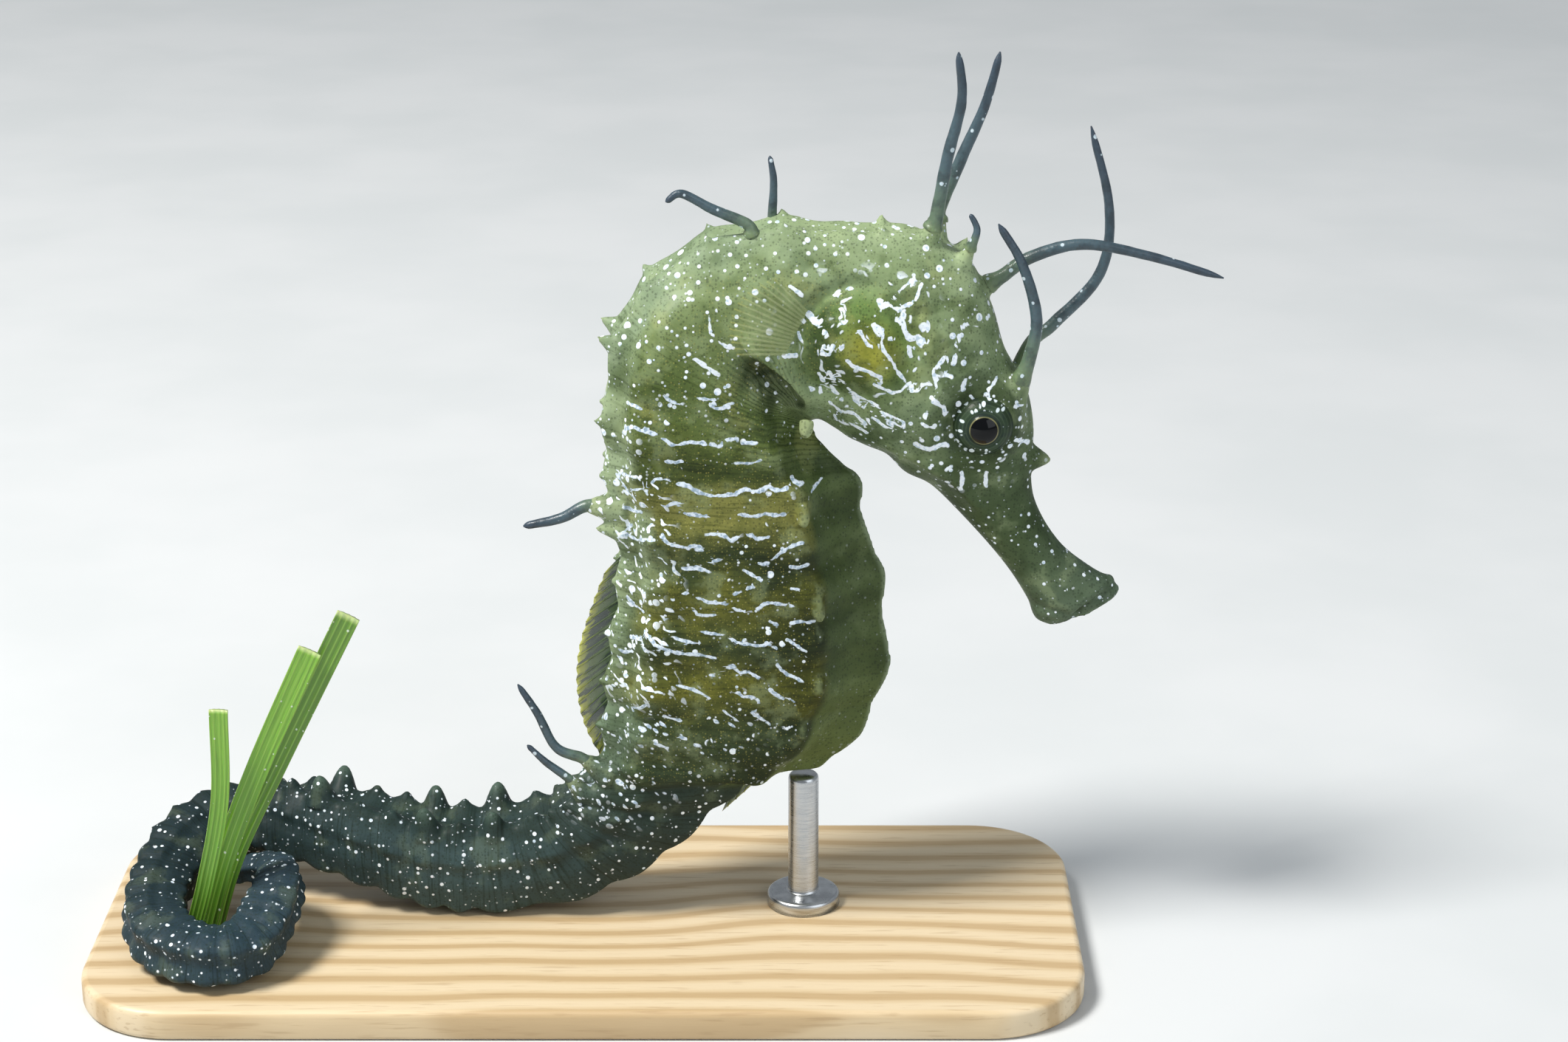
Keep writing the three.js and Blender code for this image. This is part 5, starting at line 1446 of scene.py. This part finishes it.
rows_of_dots = both(tree, rows_of_dots, between(tree, radius, 1.45, 1.6))
iris = blend(tree, rows_of_dots, iris, paint(214, 226, 230))
gold = both(tree, between(tree, radius, PUPIL - 0.03, PUPIL),
            between(tree, radius, PUPIL + 0.09, PUPIL + 0.05))
iris = blend(tree, both(tree, gold, between(tree, noise(tree, place, 0.5, 1.0), 0.4, 0.6, 0.15, 0.75)),
             iris,
             paint(146, 138, 92))
in_pupil = between(tree, radius, PUPIL, PUPIL - 0.03)
tree.links.new(blend(tree, in_pupil, iris, paint(5, 6, 8)), shader.inputs["Base Color"])
tree.links.new(between(tree, in_pupil, 0, 1, 0.4, 0.08), shader.inputs["Roughness"])
tree.links.new(between(tree, radius, PUPIL + 0.2, PUPIL, 0.08, 0.4), shader.inputs["Coat Weight"])
height = placed_group(tree, grain, {"Place": place, "Size": 0.35, "Pits": 0.3})
height = both(tree, height, between(tree, radius, PUPIL + 0.1, PUPIL + 0.3))
tree.links.new(wire(tree, "ShaderNodeBump", {"Strength": 0.5, "Distance": 0.00004, "Height": height}),
               shader.inputs["Normal"])


# %% Eyeballs
def eyeball(side):
    """An ellipsoid on the head's side, with a low clear dome over its pupil."""
    rings, segments = 56, 72
    polar_angle = np.linspace(0, np.pi, rings)
    reach = EYE["radius"] * np.sin(polar_angle)
    out = EYE["depth"] * np.cos(polar_angle)
    flat = np.hypot(reach / 1.3, 0)
    out = out + np.where(polar_angle < np.pi / 2,
                         0.3 * np.clip(1 - flat**2, 0, 1) - 0.1 * mound(reach - 1.32, 0.12), 0)
    turn_angle = np.linspace(0, 2 * np.pi, segments, endpoint=False)
    points = [(EYE["x"] + r * math.cos(a), side * (EYE["y"] + 0.1 + o), EYE["z"] + r * math.sin(a))
              for r, o in zip(reach[1:-1], out[1:-1]) for a in turn_angle]
    points += [(EYE["x"], side * (EYE["y"] + 0.1 + pole), EYE["z"]) for pole in (out[0], out[-1])]
    bands = rings - 2
    faces = [(i * segments + j, i * segments + (j + 1) % segments, (i + 1) * segments + (j + 1) % segments,
              (i + 1) * segments + j) for i in range(bands - 1) for j in range(segments)]
    first, last = bands * segments, bands * segments + 1
    faces += [(first, (j + 1) % segments, j) for j in range(segments)]
    faces += [(last, (bands - 1) * segments + j,
               (bands - 1) * segments + (j + 1) % segments) for j in range(segments)]
    ball = new_object(f"eye_fine_{'left' if side > 0 else 'right'}", placed(points), faces)
    work = bmesh.new()
    work.from_mesh(ball.data)
    bmesh.ops.recalc_face_normals(work, faces=work.faces)
    work.to_mesh(ball.data)
    work.free()
    ball.data.materials.append(eye_material)
    return ball


for side, name in ((-1, "eye_right"), (1, "eye_left")):
    pieces.append((eyeball(side), (name,), "eye"))
print("eyes:", triangles(pieces[-1][0]), "triangles each")

# %% [markdown]
# ## The perch
# The tail grips three cut blades of seagrass. A blade is a strap with a few veins along
# it, so each one is a flat section swept along a smooth line and cut square at the top.
# The section is a little thicker over each vein, as in the real leaf.

# %% Blades of seagrass
LEAVES = {
    "perch_leaf_1": (((-47.0, -8.2, 0), (-44.6, -8.2, 8), (-41.4, -8.0, 16), (-37.0, -7.7, 25.5)),
                     (1.7, 1.9)),
    "perch_leaf_2": (((-46.4, -7.2, 0), (-44.1, -7.1, 7.4), (-40.0, -6.9, 16), (-34.0, -6.6, 28)),
                     (1.6, 1.9)),
    "perch_leaf_3": (((-47.9, -9.3, 0), (-46.0, -9.3, 6.5), (-44.5, -9.2, 13.5), (-44.2, -9.0, 21)),
                     (1.3, 1.5)),
}
LEAF_HALF_THICKNESS = 0.2
VEINS = 5


def blade(name, line, widths):
    """A closed strap along a line, with rounded edges and raised veins."""
    steps, round_count = 60, 44
    path = smooth_line(line, steps)
    run = np.gradient(path, axis=0)
    run /= np.linalg.norm(run, axis=1, keepdims=True)
    side_way = np.array([1.0, 0, 0]) - run * run[:, :1]
    side_way /= np.linalg.norm(side_way, axis=1, keepdims=True)
    front_way = np.cross(run, side_way)
    turn_angle = np.linspace(0, 2 * np.pi, round_count, endpoint=False)
    across = np.sign(np.cos(turn_angle)) * np.abs(np.cos(turn_angle)) ** 0.8
    thick = LEAF_HALF_THICKNESS * np.sign(np.sin(turn_angle)) * np.abs(np.sin(turn_angle)) ** 0.5
    thick = thick * (0.85 + 0.2 * np.cos(across * np.pi * (VEINS - 1))) - 0.12 * across**2
    width = np.linspace(widths[0], widths[1], steps)[:, None] / 2
    points = (path[:, None] + side_way[:, None] * (across * width)[..., None]
              + front_way[:, None] * np.broadcast_to(thick, (steps, round_count))[..., None])
    grid = np.arange(steps * round_count).reshape(steps, round_count)
    beside = np.roll(grid, -1, axis=1)
    quads = np.stack([grid[:-1], beside[:-1], beside[1:], grid[1:]], axis=2).reshape(-1, 4)
    made = new_object(name + "_fine", placed(points.reshape(-1, 3)),
                      quads.tolist() + [grid[0][::-1].tolist(), grid[-1].tolist()])
    store(made.data, "across", np.tile(across, steps))
    store(made.data, "level", np.repeat(np.linspace(0, 1, steps), round_count))
    work = bmesh.new()
    work.from_mesh(made.data)
    bmesh.ops.recalc_face_normals(work, faces=work.faces)
    work.to_mesh(made.data)
    work.free()
    return made


def leaf_finish(name, foot, middle, top):
    """Seagrass: three greens from the foot to the cut, veins, and a few pale grains."""
    material, tree, shader = new_material(name, Roughness=0.38, Subsurface_Weight=0.15,
                                          Subsurface_Scale=0.0006,
                                          Coat_Weight=0.2, Coat_Roughness=0.2)
    across, level = attribute(tree, "across"), attribute(tree, "level")
    place = millimetres(tree)
    colour = ramp(tree, level, [(0.0, foot), (0.45, middle), (1.0, top)])
    long_place = wire(tree, "ShaderNodeCombineXYZ", {0: calc(tree, "MULTIPLY", across, 9.0),
                                                     1: calc(tree, "MULTIPLY", level, 5.0)})
    fibres = noise(tree, long_place, 1.6, 3.0)
    colour = blend(tree, between(tree, fibres, 0.42, 0.6, 0, 0.5), colour, paint(84, 124, 40))
    vein = calc(tree, "COSINE", calc(tree, "MULTIPLY", across, math.pi * (VEINS - 1)))
    colour = blend(tree, between(tree, vein, 0.55, 0.98, 0, 0.45), colour, paint(150, 190, 84))
    colour = blend(tree, between(tree, level, 0.985, 1.0, 0, 0.8), colour, paint(190, 206, 140))
    white = sprinkled(tree, place, 0.75, 0.08, 0.03)
    colour = blend(tree, both(tree, white, 0.8), colour, paint(214, 224, 206))
    tree.links.new(colour, shader.inputs["Base Color"])
    height = placed_group(tree, grain, {"Place": long_place, "Size": 0.35, "Pits": 0.1})
    tree.links.new(wire(tree, "ShaderNodeBump", {"Strength": 0.4, "Distance": 0.00003, "Height": height}),
                   shader.inputs["Normal"])
    return material


bright = leaf_finish("leaf_bright", paint(70, 112, 30), paint(104, 156, 38), paint(126, 176, 58))
deep = leaf_finish("leaf_deep", paint(60, 98, 26), paint(84, 128, 34), paint(96, 136, 46))
for name, (line, widths) in LEAVES.items():
    leaf = blade(name, line, widths)
    leaf.data.materials.append(deep if name.endswith("2") else bright)
    pieces.append((leaf, (name,), "leaf"))
print("blades:", [triangles(p[0]) for p in pieces[-3:]])

# %% [markdown]
# ## The stand
# The base is a slab of pale ash with rounded corners and a small bevel, oiled. A short
# steel rod on a round foot carries the belly. The slab is an outline pushed up with a
# Bevel modifier on its edges, and the rod is a profile turned like on a lathe.

# %% Ash base
BASE = dict(length=80, width=34, thickness=2.5, corner=8, chamfer=0.5)
corner_turn = np.linspace(0, np.pi / 2, 17)
outline = []
for quarter, (sx, sy) in enumerate(((1, 1), (-1, 1), (-1, -1), (1, -1))):
    cx = sx * (BASE["length"] / 2 - BASE["corner"])
    cy = sy * (BASE["width"] / 2 - BASE["corner"])
    for a in corner_turn + quarter * np.pi / 2:
        outline.append((cx + BASE["corner"] * math.cos(a), cy + BASE["corner"] * math.sin(a)))
count = len(outline)
levels = [(x * MM, y * MM, z * MM) for z in (0, BASE["thickness"]) for x, y in outline]
sides = [(k, (k + 1) % count, count + (k + 1) % count, count + k) for k in range(count)]
base = new_object("base_slab", levels, sides + [tuple(range(count))[::-1], tuple(range(count, 2 * count))])
bevel = base.modifiers.new("edge", "BEVEL")
bevel.width, bevel.segments = BASE["chamfer"] * MM, 3
bevel.limit_method, bevel.angle_limit = "ANGLE", math.radians(50)
base = baked(base, "stand_base_fine")
for polygon in base.data.polygons:
    polygon.use_smooth = len(polygon.vertices) == 4
print("base:", triangles(base), "triangles")

# %% Ash material
wood_material, tree, shader = new_material("ash", Roughness=0.5, Coat_Weight=0.12, Coat_Roughness=0.3)
place = millimetres(tree)
bent = vector(tree, "ADD", place, vector(tree, "SCALE", noise(tree, place, 0.03, 1.0, out=1), 9.0))
long_grain = vector(tree, "MULTIPLY", bent, (0.035, 0.55, 0.5))
growth = wire(tree, "ShaderNodeTexWave",
              {"Vector": long_grain, "Scale": 0.2, "Distortion": 3.0, "Detail": 2.0,
                                          "Detail Scale": 1.0}, out=1, bands_direction="Y")
wood = ramp(tree, growth, [(0.1, paint(218, 198, 164)), (0.6, paint(210, 187, 149)),
                           (0.95, paint(190, 163, 122))])
pores = noise(tree, vector(tree, "MULTIPLY", place, (0.22, 3.2, 3.2)), 1.0, 3.0)
wood = blend(tree, between(tree, pores, 0.56, 0.7, 0, 0.35), wood, paint(160, 130, 92))
tree.links.new(wood, shader.inputs["Base Color"])
tree.links.new(between(tree, pores, 0.4, 0.7, 0.45, 0.6), shader.inputs["Roughness"])
tree.links.new(wire(tree, "ShaderNodeBump", {"Strength": 0.35, "Distance": 0.00005,
                                             "Height": calc(tree, "MULTIPLY", pores, -1.0)}),
               shader.inputs["Normal"])
base.data.materials.clear()
base.data.materials.append(wood_material)
pieces.append((base, ("stand_base",), "base_wood"))

# %% Steel rod
ROD = dict(x=1.6, radius=1.25, top=11.3, foot_radius=3.0, foot_height=0.9, sink=-0.25)
profile = [(0, ROD["sink"]), (3.0, ROD["sink"]), (3.0, 0.55), (2.93, 0.75), (2.75, 0.87), (2.5, 0.9),
           (1.5, 0.92),
           (1.31, 1.0), (1.25, 1.2), (1.25, 11.0), (1.2, 11.25), (1.05, 11.4), (0, 11.45)]
segments = 64
points = [(ROD["x"], 0, profile[0][1])]
for r, h in profile[1:-1]:
    points += [(ROD["x"] + r * math.cos(a), r * math.sin(a), h) for a in np.linspace(0, 2 * np.pi,
        segments, endpoint=False)]
points.append((ROD["x"], 0, profile[-1][1]))
rod_faces = [(0, 1 + (j + 1) % segments, 1 + j) for j in range(segments)]
for i in range(len(profile) - 3):
    a = 1 + i * segments
    rod_faces += [(a + j, a + (j + 1) % segments, a + segments + (j + 1) % segments, a + segments + j)
                  for j in range(segments)]
a, top = 1 + (len(profile) - 3) * segments, len(points) - 1
rod_faces += [(a + j, a + (j + 1) % segments, top) for j in range(segments)]
rod = new_object("stand_rod_fine", placed(points), rod_faces)
steel_material, tree, shader = new_material("brushed_steel", Metallic=1.0, Roughness=0.3)
place = millimetres(tree)
brushed = noise(tree, vector(tree, "MULTIPLY", place, (0.8, 0.8, 14.0)), 1.0, 3.0)
tree.links.new(ramp(tree, brushed, [(0.3, paint(176, 178, 180)), (0.7, paint(206, 208, 210))]),
               shader.inputs["Base Color"])
tree.links.new(between(tree, brushed, 0.3, 0.7, 0.24, 0.38), shader.inputs["Roughness"])
tree.links.new(wire(tree, "ShaderNodeBump", {"Strength": 0.2, "Distance": 0.00001, "Height": brushed}),
               shader.inputs["Normal"])
rod.data.materials.append(steel_material)
pieces.append((rod, ("stand_rod",), "rod_steel"))
print("rod:", triangles(rod), "triangles")

# %% [markdown]
# ## Floor, and what stands for what
# The floor is only the stage. Then each piece is tied to the one body of this still
# model, and the nodes it replaces are hidden.

# %% Floor
FLOOR = 3.0
floor = new_object("floor", [(x * FLOOR, y * FLOOR, 0) for x, y in ((-1, -1), (1, -1), (1, 1), (-1, 1))],
                   [(0, 1, 2, 3)])
floor_material, tree, shader = new_material("floor_card", Roughness=0.9)
cloud = noise(tree, wire(tree, "ShaderNodeTexCoord", out=3), 30.0, 4.0)
tree.links.new(ramp(tree, cloud, [(0.3, paint(206, 209, 210)), (0.7, paint(212, 214, 215))]),
               shader.inputs["Base Color"])
floor.data.materials.append(floor_material)
floor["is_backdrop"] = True

# %% Tie the pieces to the frame
FLESH = ["snout", "head", "neck", "trunk_upper", "trunk_middle", "trunk_lower",
         *(f"tail_{k}" for k in range(1, 12))]
pieces.insert(0, (skin, tuple(FLESH), "skin"))
for piece, nodes, finish in pieces:
    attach(piece, "root")
    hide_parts(*nodes)
total = sum(triangles(piece) for piece, _, _ in pieces)
print("pieces:", len(pieces), "triangles:", total)

# %% Measure the two boxes and finish
low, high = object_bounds()
size = {"cad": [list(cad_box[0]), list(cad_box[1])], "visual": [list(low), list(high)]}
print("CAD box (mm):", [round(v * 1000, 2) for v in (*cad_box[0], *cad_box[1])])
print("visual box (mm):", [round(v * 1000, 2) for v in (*low, *high)])
